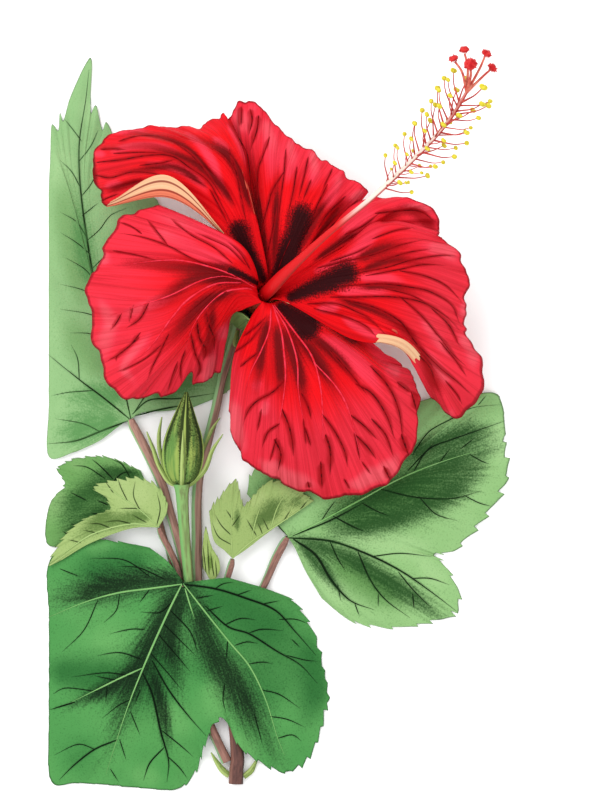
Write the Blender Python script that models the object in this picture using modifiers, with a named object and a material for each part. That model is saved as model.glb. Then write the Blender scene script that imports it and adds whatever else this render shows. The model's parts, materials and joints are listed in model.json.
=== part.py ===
"""Hibiscus flower: one open bloom on its cut leafy sprig, with a bud and seven leaves.

The sprig lies flat on its back, stem towards -Y, bloom facing up. Lengths below are in
millimetres in a drawing frame whose XY centre is the middle of the sprig, and SHIFT then
puts the box's bottom centre at the origin. One body per named node.
"""
import math

import bmesh
import bpy
from mathutils import Vector

MM = 0.001
NAME = "hibiscus_flower"
SHIFT = Vector((7.075, 7.59, -0.1))

PETAL_THICKNESS = 0.8
LEAF_THICKNESS = 0.8
PETAL_ROWS = 11
LEAF_ROWS = 6
JUNCTION_RADIUS = 0.7

CALYX_BASE = Vector((-19.0, 26.0, 8.0))
THROAT = Vector((-9.5, 34.5, 34.0))
FLOWER_AXIS = (THROAT - CALYX_BASE).normalized()
CLAW_DEPTH = 13.0

CALYX_PROFILE = [(1.2, 0.0), (3.2, 1.2), (5.0, 4.2), (6.0, 9.0), (6.5, 14.0), (7.4, 19.0),
                 (6.7, 19.2), (5.8, 14.0), (5.2, 9.4), (4.2, 5.8), (0.0, 4.6)]

# Each petal: claw (angle, radius inside the calyx, radius at the throat) for its two edges,
# then its main veins from one edge to the other as belly, shoulder and rim points.
PETALS = {
    "petal_left": {"claw": ((154, 3.5, 4.2), (232, 3.9, 4.9)), "veins": [
        [(-17.5, 47.5, 42), (-29.5, 54.5, 38), (-44, 61, 30)],
        [(-20, 43, 44), (-34, 49.5, 41), (-57, 56.5, 27)],
        [(-22.5, 39.5, 43), (-40.5, 43, 38), (-62.5, 44.5, 22)],
        [(-23.5, 38, 41), (-43.5, 32, 38), (-67.5, 34, 20)],
        [(-24, 35.5, 41), (-42, 22, 36), (-64.5, 16, 16)],
        [(-23.5, 33.5, 42), (-40, 15.5, 34), (-57, 1.5, 14)],
        [(-22.5, 32.5, 41), (-34.5, 17, 31), (-44.5, 0.5, 13)],
        [(-20, 32, 38), (-29, 17.5, 28), (-33, 4.5, 12)],
        [(-17, 28, 33), (-22.5, 24.5, 28), (-26, 9.5, 14)]]},
    "petal_upper_left": {"claw": ((144, 4.3, 6.2), (99, 3.8, 4.6)), "veins": [
        [(-25.5, 54.5, 38.5), (-41.5, 70, 40), (-60, 62.5, 22)],
        [(-25.5, 53, 36.5), (-41, 63.5, 37.5), (-61, 61, 19.5)],
        [(-25, 56.5, 35.5), (-42, 66, 34.5), (-63, 63.5, 17.5)],
        [(-23.5, 62.5, 37.5), (-43.5, 73, 35), (-66, 71, 17.5)],
        [(-22, 68.5, 40), (-42, 79.5, 35), (-63, 81.5, 19)],
        [(-21, 71, 40), (-37.5, 82, 34), (-52, 85.5, 22)],
        [(-19.5, 72, 40), (-31, 81, 34), (-40.5, 86, 24)],
        [(-17.5, 71, 40), (-25, 82, 34), (-30.5, 86.5, 26)],
        [(-16, 67, 39), (-19.5, 81, 34), (-24.5, 89.5, 28)],
        [(-15, 62.5, 37), (-17, 78, 33), (-22, 88.5, 28)]]},
    "petal_top": {"claw": ((90, 4.3, 6.0), (43, 3.8, 4.6)), "veins": [
        [(-15, 54, 32), (-20, 72, 27), (-23.5, 88, 22)],
        [(-13, 57.5, 35), (-16.5, 75, 31), (-18, 94, 24)],
        [(-10.5, 58.5, 37), (-12, 76.5, 34), (-12, 91.5, 26)],
        [(-7.5, 59, 38), (-7, 75, 36), (-5.5, 84.5, 30)],
        [(-3.5, 58.5, 38), (-1, 70, 37), (2.5, 78, 32)],
        [(0, 57.5, 38), (5.5, 68, 37), (9.5, 74, 33)],
        [(3.5, 55, 37), (10.5, 64.5, 36), (15.5, 69.5, 34)],
        [(6, 51, 35), (14.5, 58.5, 34), (21.5, 65, 33)]]},
    "petal_right": {"claw": ((33, 3.9, 4.8), (-34, 3.7, 4.4)), "veins": [
        [(8, 46.5, 38), (18.5, 58, 40), (25, 62, 36)],
        [(11, 47, 41), (25.5, 55.5, 42), (39, 61, 34)],
        [(13, 44.5, 43), (30.5, 51, 44), (44.5, 50.5, 34)],
        [(14.5, 41.5, 44), (34.5, 44, 44), (52.5, 40.5, 30)],
        [(14.5, 38, 43), (35.5, 37, 43), (52.5, 31.5, 27)],
        [(13.5, 34, 42), (35, 30.5, 42), (51.5, 24, 24)],
        [(12.5, 31, 41), (32.5, 24, 41), (55.5, 16, 18)],
        [(11, 29, 40), (31, 21, 39), (58.5, 5, 12)],
        [(9.5, 28, 38), (30.5, 18, 36), (50.5, -5.5, 8)],
        [(7.5, 28, 36), (31.5, 16, 33), (43.5, 0.5, 10)]]},
    "petal_lower": {"claw": ((240, 4.0, 4.9), (318, 4.4, 6.2)), "veins": [
        [(-15.5, 25.5, 34), (-21, 13, 28), (-22.5, -4, 18)],
        [(-13.5, 20.5, 37), (-17, 4.5, 31), (-19.5, -16, 14)],
        [(-10, 15.5, 39), (-10.5, -0.5, 33), (-12, -23, 11)],
        [(-5.5, 13, 40), (-3.5, -6.5, 33), (-1.5, -28, 10)],
        [(-1, 12, 40), (5.5, -8, 33), (11.5, -31, 10)],
        [(3.5, 13, 38), (14, -5.5, 32), (25.5, -27.5, 10)],
        [(8.5, 15.5, 36), (22, 0, 31), (35.5, -16, 12)],
        [(12.5, 18, 34), (27.5, 6.5, 30), (37.5, 0.5, 16)],
        [(14, 20.5, 31), (24.5, 12.5, 28), (34, 10, 20)],
        [(12, 25.5, 29), (21.5, 19.5, 27), (25, 13, 24)]]},
}

# Each leaf: the point where its stalk meets it, then its veins from one side of the base
# round to the other, each as near, middle and rim points.
LEAVES = {
    "leaf_tall": {"junction": (-54, -6, 3.2), "veins": [
        [(-58, -8.5, 2.6), (-64, -13, 2.2), (-71.5, -16.5, 1.8)],
        [(-60.5, -8, 2.8), (-69.5, -12, 2.2), (-81, -18, 1.6)],
        [(-62, -4, 2.8), (-70.5, -2, 2.2), (-81.5, -1.5, 1)],
        [(-60, -1.5, 2.8), (-68.5, 5, 2.2), (-82, 16, 0.8)],
        [(-59.5, 4.5, 2.8), (-69.5, 18.5, 2.2), (-83, 33.5, 0.8)],
        [(-60, 9, 2.8), (-71.5, 36.5, 2.2), (-83, 50.5, 0.8)],
        [(-60.5, 13.5, 2.8), (-72.5, 52, 2), (-82, 67, 0.8)],
        [(-60.5, 16, 2.8), (-73, 64, 1.8), (-79, 85.5, 0.8)],
        [(-60.5, 16.5, 2.8), (-71.5, 67, 1.8), (-72, 100.5, 0.8)],
        [(-60.5, 16.5, 2.8), (-69.5, 67, 1.8), (-67, 109.5, 0.8)],
        [(-59.5, 16.5, 2.8), (-66.5, 65.5, 1.8), (-64.5, 92, 0.8)],
        [(-58, 16, 2.8), (-62, 60, 1.8), (-56.5, 77.5, 0.8)],
        [(-56, 15.5, 2.8), (-56, 51, 1.8), (-45.5, 63.5, 0.8)],
        [(-54.5, 14, 2.8), (-49.5, 41, 1.6), (-30.5, 49.5, 0.8)],
        [(-51.5, 11.5, 2.8), (-41, 30, 1.4), (-20.5, 36, 0.8)],
        [(-50, 7.5, 2.8), (-36, 20, 1.2), (-17, 22, 0.6)],
        [(-48.5, 4, 2.8), (-34.5, 11, 1), (-17.5, 9, 0.6)],
        [(-48, 0, 2.8), (-36.5, 2.5, 1), (-23.5, 2.5, 0.6)],
        [(-50, -4, 2.6), (-43, -3.5, 1.6), (-34.5, -2.5, 0.8)],
    ]},
    "leaf_right": {"junction": (-4, -43.5, 3.6), "veins": [
        [(-6.5, -41, 3.4), (-12, -35.5, 3.2), (-17, -30, 2.2)],
        [(-6.5, -39.5, 3.6), (-10, -31.5, 3.2), (-14.5, -21.5, 2.2)],
        [(-4.5, -37.5, 3.6), (-3, -26, 3.2), (-3, -16, 2)],
        [(-1, -36.5, 3.6), (5.5, -22.5, 3.2), (12, -9, 2)],
        [(2, -37, 3.6), (16.5, -20, 3), (26, -1.5, 2)],
        [(4, -37.5, 3.6), (23.5, -20, 3), (40.5, 0.5, 1.6)],
        [(5, -38.5, 3.6), (28.5, -20.5, 3), (55, 2, 1.2)],
        [(5.5, -38.5, 3.6), (32.5, -21.5, 3), (66, 0, 0.8)],
        [(6.5, -39, 3.6), (35, -23.5, 2.8), (69, -14, 0.8)],
        [(6, -39.5, 3.6), (33, -26, 2.8), (67, -28, 0.8)],
        [(5, -41, 3.6), (30, -30.5, 2.6), (59.5, -37.5, 0.8)],
        [(4, -42, 3.6), (25, -37, 2.4), (50, -48, 0.8)],
        [(4.5, -43.5, 3.6), (21.5, -43, 2.2), (43, -49.5, 0.8)],
        [(6.5, -44.5, 3.6), (24.5, -48, 2.2), (46, -52, 0.8)],
        [(7.5, -45.5, 3.6), (27.5, -52, 2.2), (51, -61, 0.8)],
        [(7, -46, 3.6), (28, -53.5, 2.2), (50, -68, 0.8)],
        [(5.5, -48, 3.6), (21.5, -60, 2.2), (41, -71.5, 0.8)],
        [(2.5, -49, 3.6), (14.5, -63.5, 2.2), (27.5, -73, 0.8)],
        [(0, -48.5, 3.6), (8, -61.5, 2.2), (16, -70.5, 0.8)],
        [(-1.5, -47.5, 3.4), (2, -55, 2.2), (7, -63.5, 0.8)],
    ]},
    "leaf_big": {"junction": (-37, -58, 10), "veins": [
        [(-39, -55, 9.4), (-42.5, -51, 7.6), (-48, -47, 5.6)],
        [(-41.5, -55.5, 9.4), (-50.5, -51, 6.6), (-59, -45, 4)],
        [(-44, -57, 9.4), (-57.5, -54, 5.4), (-70.5, -44.5, 2.4)],
        [(-45, -58.5, 9.4), (-60, -58, 5), (-81, -52, 1.2)],
        [(-46, -60, 9.4), (-61, -64, 5), (-82, -69.5, 0.8)],
        [(-45, -63, 9.4), (-60, -72.5, 5), (-83, -85, 0.8)],
        [(-44.5, -65.5, 9.4), (-59.5, -81.5, 5), (-82.5, -101, 0.8)],
        [(-44, -68.5, 9.4), (-57.5, -92.5, 5), (-81, -117.5, 0.8)],
        [(-44, -70.5, 9.4), (-56, -99.5, 5), (-71.5, -122.5, 0.8)],
        [(-43.5, -72, 9.4), (-52, -99.5, 5), (-62.5, -123, 0.8)],
        [(-42, -72.5, 9.4), (-48, -99, 5), (-52, -124, 0.8)],
        [(-40, -73, 9.4), (-42.5, -98, 5.4), (-39.5, -124.5, 0.8)],
        [(-38, -73, 9.4), (-38, -96, 6), (-33.5, -119.5, 1.2)],
        [(-36, -73, 9.4), (-34, -93, 6.8), (-30.5, -111, 4.4)],
        [(-34.5, -73, 9.4), (-31, -90.5, 7.2), (-27, -103, 6)],
        [(-32.5, -72, 9.4), (-28, -90, 7.2), (-23.5, -102.5, 6)],
        [(-31, -71, 9.4), (-23.5, -91, 6.8), (-19, -111, 5.8)],
        [(-29, -70.5, 9.4), (-19, -91, 5.6), (-10, -117.5, 1.4)],
        [(-27, -69.5, 9.4), (-14.5, -90.5, 5), (-2.5, -119, 0.8)],
        [(-25.5, -68, 9.4), (-10, -86.5, 5), (4, -113, 0.8)],
        [(-24.5, -66, 9.4), (-7, -81.5, 5), (9, -97, 0.8)],
        [(-24, -64, 9.4), (-6.5, -74.5, 5), (7.5, -85, 0.8)],
        [(-25, -61.5, 9.4), (-11, -66.5, 5.8), (5, -75.5, 1.2)],
        [(-26.5, -60, 9.4), (-14, -61.5, 6.6), (-1, -65, 2.4)],
        [(-29, -58.5, 9.4), (-19.5, -59, 7.4), (-10, -60.5, 4)],
        [(-32.5, -57.5, 9.6), (-28.5, -57, 8.6), (-23, -56.5, 7)],
    ]},
    "leaf_folded": {"junction": (-45, -40.5, 7.2), "veins": [
        [(-43.5, -38, 7.2), (-42.5, -36, 7.6), (-42, -33, 7.6)],
        [(-45, -35.5, 7.2), (-44.5, -32, 7.6), (-45, -27.5, 7.6)],
        [(-48, -35, 7), (-50, -30.5, 7), (-53, -24.5, 6.6)],
        [(-50.5, -35.5, 6.8), (-57.5, -30.5, 6), (-66, -27.5, 4.6)],
        [(-52, -36.5, 6.6), (-58, -33.5, 5.6), (-62, -31, 4.6)],
        [(-53, -37.5, 6.6), (-58, -35.5, 5.6), (-61.5, -35, 4.6)],
        [(-54, -38, 6.6), (-61, -37.5, 5.2), (-70, -38.5, 4.2)],
        [(-55, -39, 6.6), (-64.5, -40.5, 5), (-76.5, -45, 3.6)],
        [(-54, -39.5, 6.6), (-66.5, -43.5, 4.8), (-80, -52.5, 3.2)],
        [(-54, -41, 6.4), (-66.5, -45.5, 4.6), (-76, -51, 3.4)],
    ]},
    "leaf_shaded": {"junction": (-46.5, -34, 1.4), "veins": [
        [(-47.5, -30, 1.2), (-49, -27, 1), (-51, -22.5, 0.8)],
        [(-50, -29.5, 1.2), (-55, -24, 0.9), (-60, -18.5, 0.6)],
        [(-51.5, -30, 1.2), (-60, -24.5, 0.9), (-69, -18, 0.6)],
        [(-53, -31.5, 1.2), (-64, -26.5, 0.9), (-77.5, -21.5, 0.6)],
        [(-54, -32.5, 1.2), (-65.5, -29.5, 0.9), (-75.5, -27, 0.6)],
        [(-54.5, -33.5, 1.2), (-67, -33.5, 0.9), (-81.5, -34, 0.6)],
        [(-53.5, -35.5, 1.2), (-65.5, -41, 0.9), (-80, -46.5, 0.6)],
        [(-51, -37, 1.2), (-58, -41.5, 0.9), (-66.5, -44, 0.6)],
    ]},
    "leaf_young": {"junction": (-21.5, -50.5, 6), "veins": [
        [(-24, -48, 6.2), (-27.5, -44.5, 6.8), (-29, -35.5, 7)],
        [(-23.5, -45, 6.2), (-25, -37, 6.8), (-26, -31, 7)],
        [(-22, -43.5, 6.2), (-21.5, -35, 6.8), (-20.5, -25.5, 6.6)],
        [(-20.5, -43.5, 6.2), (-19, -37, 6.6), (-18, -33, 6.4)],
        [(-19, -44.5, 6.2), (-16.5, -37.5, 6.6), (-14.5, -30, 6.2)],
        [(-18, -45, 6.2), (-12.5, -36.5, 6.4), (-9, -25.5, 5.8)],
        [(-17, -46, 6.2), (-9.5, -37.5, 6), (0, -28.5, 5.2)],
        [(-17, -47.5, 6), (-8.5, -41, 5.8), (4.5, -32, 5)],
    ]},
    "leaf_unfurling": {"junction": (-28, -58.5, 4.2), "veins": [
        [(-29.5, -56, 4.4), (-31, -52.5, 5.2), (-31, -46.5, 6.2)],
        [(-28.5, -54, 4.4), (-30, -48, 5.6), (-30, -40.5, 6.4)],
        [(-27.5, -54.5, 4.4), (-27.5, -50.5, 5), (-28.5, -46, 5.6)],
        [(-26, -55.5, 4.2), (-25.5, -53.5, 4.2), (-26, -50.5, 4.4)],
    ]},
}

# Round members: (x, y, z, radius) along the centre line, both ends capped.
TUBES = {
    "main_stem": [(-20.5, -122.5, 2.4, 2.3), (-20, -113.5, 2.4, 2.2), (-21.5, -100.5, 2.4, 2.1),
                  (-27, -83, 2.4, 2.0), (-32, -70.5, 2.4, 1.9)],
    "stalk_flower": [(-32.5, -67.5, 2.4, 1.5), (-33, -56, 2.2, 1.4), (-33, -44.5, 2, 1.3),
                     (-33, -32, 2, 1.3), (-32, -22.5, 2, 1.3), (-29.5, -13, 2.4, 1.3),
                     (-27, -3, 2.8, 1.3), (-25, 6.5, 3.4, 1.3), (-22.5, 14.5, 4.2, 1.3),
                     (-20.6, 20.5, 5.5, 1.4), (-19.5, 24.2, 7, 1.6)],
    "stalk_bud": [(-33, -70.5, 6, 1.2), (-35, -61, 6.4, 1.2), (-36, -51, 7.6, 1.3),
                  (-37, -38, 9.4, 1.5), (-37.5, -28.2, 10.5, 1.9)],
    "stalk_tall_leaf": [(-53.5, -7.7, 3, 1.1), (-49.5, -15.5, 3, 1.1), (-44.5, -26, 2.8, 1.1),
                        (-41.5, -36, 2.6, 1.1), (-38.5, -46.5, 2.6, 1.1), (-36.2, -57.5, 2.4, 1.1),
                        (-35.8, -67.5, 2.4, 1.1)],
    "stalk_folded_leaf": [(-44.5, -42.5, 6.6, 0.8), (-41.5, -48, 6, 0.8), (-39, -54, 5.2, 0.8),
                          (-37.8, -60.5, 4.9, 0.8), (-36, -68.5, 4.7, 0.8)],
    "stalk_shaded_leaf": [(-45.5, -35.7, 1.2, 0.7), (-44, -41.5, 1, 0.7), (-41.5, -51, 1, 0.7),
                          (-39.5, -64, 1, 0.7), (-38, -70.5, 1, 0.7)],
    "stalk_young_leaf": [(-22, -52.5, 5.2, 0.7), (-23, -56, 4.2, 0.8), (-25.5, -64, 3.2, 0.8),
                         (-28, -69.5, 3, 0.8)],
    "stalk_right_leaf": [(-5, -45.2, 3.0, 0.9), (-8, -51, 2, 0.9), (-12, -60, 1.6, 0.9),
                         (-19, -72.5, 1.6, 1.0), (-24, -81.5, 1.9, 1.0)],
    "stalk_big_leaf": [(-38.5, -60, 7.9, 1.1), (-38, -70, 6.8, 1.2), (-36.5, -83, 5.2, 1.3),
                       (-31.5, -97.5, 3, 1.3), (-28.5, -104.5, 2.4, 1.4), (-26, -110, 2.2, 1.4),
                       (-24.6, -113.5, 2.2, 1.4)],
    "flower_bract_left": [(-22.6, 27.0, 8.6, 0.5), (-26.0, 29.0, 11.5, 0.9), (-28.2, 30.0, 16.0, 0.4)],
    "flower_bract_right": [(-14.6, 23.2, 9.0, 0.5), (-11.5, 20.6, 12.0, 0.9), (-10.5, 19.6, 16.5, 0.4)],
    "flower_bract_front": [(-20.0, 21.6, 10.6, 0.5), (-20.4, 18.0, 13.4, 0.9), (-20.4, 16.8, 17.0, 0.4)],
    "bud": [(-37.5, -26.6, 10.5, 2.2), (-37.5, -25.2, 10.5, 3.6), (-37.4, -22.5, 10.5, 5.0),
            (-37.3, -18.5, 10.5, 6.3), (-37.1, -14.5, 10.5, 6.8), (-36.9, -10.5, 10.5, 6.3),
            (-36.7, -6.5, 10.5, 5.0), (-36.4, -2.5, 10.5, 3.2), (-36.2, 0.4, 10.5, 1.5),
            (-36.1, 2.4, 10.5, 0.4)],
    "bud_bract_outer_left": [(-41.8, -27.8, 10.5, 0.5), (-44.9, -21.4, 10.8, 0.9),
                             (-46.6, -15.5, 11.6, 0.9), (-48.6, -10.5, 13.0, 0.3)],
    "bud_bract_left": [(-43.4, -24.0, 7.2, 0.5), (-44.9, -16.5, 6.4, 0.8), (-45.2, -11.0, 6.2, 0.8),
                       (-44.2, -6.0, 6.4, 0.3)],
    "bud_bract_front": [(-37.4, -26.9, 14.2, 0.5), (-37.2, -23.4, 16.6, 0.9), (-37.0, -17.0, 18.3, 0.9),
                        (-36.9, -10.5, 18.6, 0.3)],
    "bud_bract_right": [(-30.6, -16.0, 6.6, 0.5), (-28.8, -11.0, 6.2, 0.8), (-27.6, -8.0, 6.2, 0.6),
                        (-25.6, -6.2, 6.8, 0.3)],
    "bud_bract_outer_right": [(-34.4, -27.4, 11.0, 0.5), (-30.4, -22.6, 11.6, 0.9),
                              (-28.0, -16.0, 12.4, 0.9), (-24.6, -11.2, 13.6, 0.3)],
    "stipule_left": [(-24.2, -119.4, 1.6, 0.9), (-26.0, -116.8, 2.0, 0.8), (-28.2, -113.0, 2.6, 0.3)],
    "stipule_right": [(-16.6, -120.2, 1.6, 0.8), (-15.2, -118.0, 1.3, 0.7), (-14.0, -115.6, 1.1, 0.3)],
}

COLUMN = [(-15.4, 29.2, 17.8, 2.0), (-9.5, 34.5, 34.0, 2.0), (-5.5, 38.5, 41, 1.9), (0, 43.5, 47, 1.7),
          (9, 51.5, 54, 1.3), (21.5, 61.5, 60, 1.0), (32, 71, 65, 0.95), (41.5, 80.5, 69, 0.9),
          (47, 87.5, 71.5, 0.8), (50, 92.2, 72.6, 0.7)]
FILAMENT_START = 5.2
FILAMENT_END = 8.7
FILAMENT_COUNT = 40
FILAMENT_REACH = 7.0
FILAMENT_RADIUS = 0.3
ANTHER_RADIUS = 0.85
GOLDEN_TURN = math.radians(137.5)

STYLE_ROOT = (50.9, 93.7, 72.9, 0.55)
STIGMAS = [(46.5, 103.5, 76.0), (50.0, 106.5, 71.0), (51.5, 101.5, 79.0), (56.5, 105.0, 76.0),
           (58.5, 101.0, 71.5)]
STIGMA_RADIUS = 1.5
STYLE_RADIUS = 0.45

COLOURS = {
    "petal": (0.75, 0.03, 0.05), "staminal": (0.8, 0.45, 0.2), "stigma": (0.6, 0.02, 0.04),
    "calyx": (0.25, 0.35, 0.08), "stalk": (0.28, 0.2, 0.07), "leaf": (0.22, 0.4, 0.1),
    "bud": (0.25, 0.3, 0.06),
}


def spot(point):
    """A drawing-frame point in millimetres as a scene point in metres."""
    return (Vector(point[:3]) + SHIFT) * MM


def along(points, t):
    """Catmull-Rom value at parameter t, 0 at the first point and len - 1 at the last."""
    i = min(int(t), len(points) - 2)
    f = t - i
    b, c = Vector(points[i]), Vector(points[i + 1])
    a = Vector(points[i - 1]) if i > 0 else b * 2 - c
    d = Vector(points[i + 2]) if i + 2 < len(points) else c * 2 - b
    return (b * 2 + (c - a) * f + (a * 2 - b * 5 + c * 4 - d) * f ** 2
            + (b * 3 - a - c * 3 + d) * f ** 3) * 0.5


def loft(columns, rows, per_vein):
    """Grid of points through the columns: rows down each one, per_vein steps between two."""
    last = len(columns[0]) - 1
    lines = [[along(column, last * r / (rows - 1)) for r in range(rows)] for column in columns]
    steps = (len(columns) - 1) * per_vein
    return [[along([line[r] for line in lines], s / per_vein) for r in range(rows)]
            for s in range(steps + 1)]


def material(key):
    """The Principled material of one family of parts."""
    found = bpy.data.materials.get(key)
    if found:
        return found
    made = bpy.data.materials.new(key)
    made.use_nodes = True
    shader = made.node_tree.nodes["Principled BSDF"]
    shader.inputs["Base Color"].default_value = (*COLOURS[key], 1.0)
    shader.inputs["Roughness"].default_value = 0.6
    made.diffuse_color = (*COLOURS[key], 1.0)
    return made


def place(name, data, key, collection):
    """Put a named object of this data, coloured as its family, in the collection."""
    thing = bpy.data.objects.new(name, data)
    data.materials.append(material(key))
    collection.objects.link(thing)
    return thing


def sheet(name, grid, thickness, key, collection):
    """A blade of even thickness built on a grid of points."""
    mesh = bpy.data.meshes.new(name)
    rows = len(grid[0])
    points = [spot(p) for line in grid for p in line]
    faces = []
    for c in range(len(grid) - 1):
        for r in range(rows - 1):
            a = c * rows + r
            faces.append((a, a + 1, a + rows + 1, a + rows))
    mesh.from_pydata(points, [], faces)
    mesh.update()
    thing = place(name, mesh, key, collection)
    solid = thing.modifiers.new("Thickness", "SOLIDIFY")
    solid.thickness = thickness * MM
    solid.offset = 0.0
    return thing


def claw_point(angle, radius, depth):
    """A point on a ring round the flower's axis, depth below the throat."""
    a = math.radians(angle)
    out = Vector((math.cos(a), math.sin(a), 0.0))
    out = (out - FLOWER_AXIS * out.dot(FLOWER_AXIS)).normalized()
    return tuple(THROAT + out * radius - FLOWER_AXIS * depth)


def petal(name, spec, collection):
    """One petal: its claw rises inside the calyx, then each vein runs out to the rim."""
    (first, in_a, out_a), (last, in_b, out_b) = spec["claw"]
    veins = spec["veins"]
    columns = []
    for i, vein in enumerate(veins):
        f = i / (len(veins) - 1)
        angle = first + (last - first) * f
        deep = claw_point(angle, in_a + (in_b - in_a) * f, CLAW_DEPTH)
        mouth = claw_point(angle, out_a + (out_b - out_a) * f, 0.0)
        columns.append([deep, mouth] + vein)
    return sheet(name, loft(columns, PETAL_ROWS, 2), PETAL_THICKNESS, "petal", collection)


def leaf(name, spec, collection):
    """One leaf blade fanned from its stalk's end out to its rim."""
    centre = Vector(spec["junction"])
    columns = []
    for vein in spec["veins"]:
        out = (Vector(vein[0]) - centre).normalized()
        columns.append([tuple(centre + out * JUNCTION_RADIUS)] + vein)
    return sheet(name, loft(columns, LEAF_ROWS, 2), LEAF_THICKNESS, "leaf", collection)


def tube(name, points, key, collection, sides=2):
    """A round member through points of (x, y, z, radius), capped at both ends."""
    curve = bpy.data.curves.new(name, "CURVE")
    curve.dimensions = "3D"
    curve.bevel_depth = MM
    curve.bevel_resolution = sides
    curve.use_fill_caps = True
    line = curve.splines.new("POLY")
    smooth = [along(points, t / 3) for t in range((len(points) - 1) * 3 + 1)]
    line.points.add(len(smooth) - 1)
    for knot, value in zip(line.points, smooth):
        knot.co = (*spot(value), 1.0)
        knot.radius = max(value[3], 0.15)
    return place(name, curve, key, collection)


def as_mesh(thing):
    """Turn a curve object into a closed mesh object of the same name."""
    data = bpy.data.meshes.new_from_object(
        thing.evaluated_get(bpy.context.evaluated_depsgraph_get()))
    work = bmesh.new()
    work.from_mesh(data)
    bmesh.ops.remove_doubles(work, verts=work.verts, dist=0.00001)
    bmesh.ops.recalc_face_normals(work, faces=work.faces)
    work.to_mesh(data)
    work.free()
    name = thing.name
    homes = list(thing.users_collection)
    bpy.data.objects.remove(thing)
    made = bpy.data.objects.new(name, data)
    for home in homes:
        home.objects.link(made)
    return made


def ball(name, centre, radius, cutters):
    """A small faceted ball used as a joining piece."""
    mesh = bpy.data.meshes.new(name)
    work = bmesh.new()
    bmesh.ops.create_icosphere(work, subdivisions=1, radius=radius * MM)
    bmesh.ops.translate(work, verts=work.verts, vec=spot(centre))
    work.to_mesh(mesh)
    work.free()
    thing = bpy.data.objects.new(name, mesh)
    cutters.objects.link(thing)
    return thing


def joined(thing, extras):
    """Unite the extras, kept in their own collection, into one closed body."""
    unite = thing.modifiers.new("Join", "BOOLEAN")
    unite.operation = "UNION"
    unite.solver = "EXACT"
    unite.operand_type = "COLLECTION"
    unite.collection = extras
    unite.use_self = True
    return thing


def hidden(name, parent):
    """A collection of joining pieces that is never shown."""
    made = bpy.data.collections.new(name)
    parent.children.link(made)
    made.hide_render = True
    return made


def calyx(collection):
    """A cup turned about the flower's axis, its profile run down the outer side first."""
    mesh = bpy.data.meshes.new("flower_calyx")
    ring = [(0.0, 0.0)] + [(r, h) for r, h in CALYX_PROFILE]
    points = [Vector((r * MM, 0.0, h * MM)) for r, h in ring]
    edges = [(i, i + 1) for i in range(len(points) - 1)]
    mesh.from_pydata(points, edges, [])
    thing = place("flower_calyx", mesh, "calyx", collection)
    turn = FLOWER_AXIS.to_track_quat("Z", "Y").to_matrix().to_4x4()
    turn.translation = spot(CALYX_BASE)
    thing.matrix_world = turn
    screw = thing.modifiers.new("Turn", "SCREW")
    screw.axis = "Z"
    screw.steps = 24
    screw.render_steps = 24
    screw.use_merge_vertices = True
    screw.merge_threshold = 0.00001
    screw.use_normal_calculate = True
    return thing


def staminal_column(collection, cutters):
    """The column with its filaments and anthers, all one body."""
    thing = as_mesh(tube("staminal_column", COLUMN, "staminal", collection))
    extras = hidden("column_pieces", cutters)
    for i in range(FILAMENT_COUNT):
        t = FILAMENT_START + (FILAMENT_END - FILAMENT_START) * i / (FILAMENT_COUNT - 1)
        root = along(COLUMN, t)
        ahead = (along(COLUMN, min(t + 0.05, 9.0)) - along(COLUMN, t - 0.05)).to_3d().normalized()
        side = ahead.cross(Vector((0, 0, 1))).normalized()
        up = side.cross(ahead)
        a = GOLDEN_TURN * i
        out = side * math.cos(a) + up * math.sin(a) * 0.8
        reach = FILAMENT_REACH * (0.85 + 0.3 * ((i * 7) % 10) / 10)
        tip = root.to_3d() + out * reach * 0.8 + ahead * reach * 0.55
        bend = root.to_3d() + out * reach * 0.45 + ahead * reach * 0.2
        path = [(*root.to_3d(), FILAMENT_RADIUS), (*bend, FILAMENT_RADIUS), (*tip, FILAMENT_RADIUS)]
        stick = tube("filament_%02d" % i, path, "staminal", extras, sides=0)
        stick.data.splines[0].resolution_u = 1
        as_mesh(stick)
        ball("anther_%02d" % i, tip, ANTHER_RADIUS, extras)
    return joined(thing, extras)


def style(collection, cutters):
    """Five style branches spreading from the column's end, each with its stigma."""
    extras = hidden("style_pieces", cutters)
    root = Vector(STYLE_ROOT[:3])
    thing = None
    for i, stigma in enumerate(STIGMAS):
        end = Vector(stigma)
        middle = root.lerp(end, 0.5) + Vector((0.6, 0.6, 0.0))
        path = [(*root, STYLE_RADIUS), (*middle, STYLE_RADIUS), (*end, STYLE_RADIUS)]
        if thing is None:
            thing = as_mesh(tube("style_with_stigmas", path, "stigma", collection, sides=1))
        else:
            as_mesh(tube("branch_%d" % i, path, "stigma", extras, sides=1))
        ball("stigma_%d" % i, end, STIGMA_RADIUS, extras)
    ball("style_knot", root, 0.7, extras)
    return joined(thing, extras)


def main():
    """Build every node of the sprig."""
    for thing in list(bpy.data.objects):
        bpy.data.objects.remove(thing, do_unlink=True)
    collection = bpy.data.collections.new(NAME)
    bpy.context.scene.collection.children.link(collection)
    cutters = bpy.data.collections.new("cutters")
    bpy.context.scene.collection.children.link(cutters)
    cutters.hide_render = True

    for name, spec in PETALS.items():
        petal(name, spec, collection)
    for name, spec in LEAVES.items():
        leaf(name, spec, collection)
    for name, points in TUBES.items():
        key = "bud" if name.startswith("bud") else "calyx" if "bract" in name else "stalk"
        tube(name, points, key, collection)
    calyx(collection)
    staminal_column(collection, cutters)
    style(collection, cutters)
    for extras in cutters.children:
        for thing in extras.objects:
            thing.display_type = "WIRE"
            thing.hide_render = True


main()
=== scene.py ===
import json
import math
import re

import bmesh
import bpy
import numpy as np
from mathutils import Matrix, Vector
from mathutils.kdtree import KDTree

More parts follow.
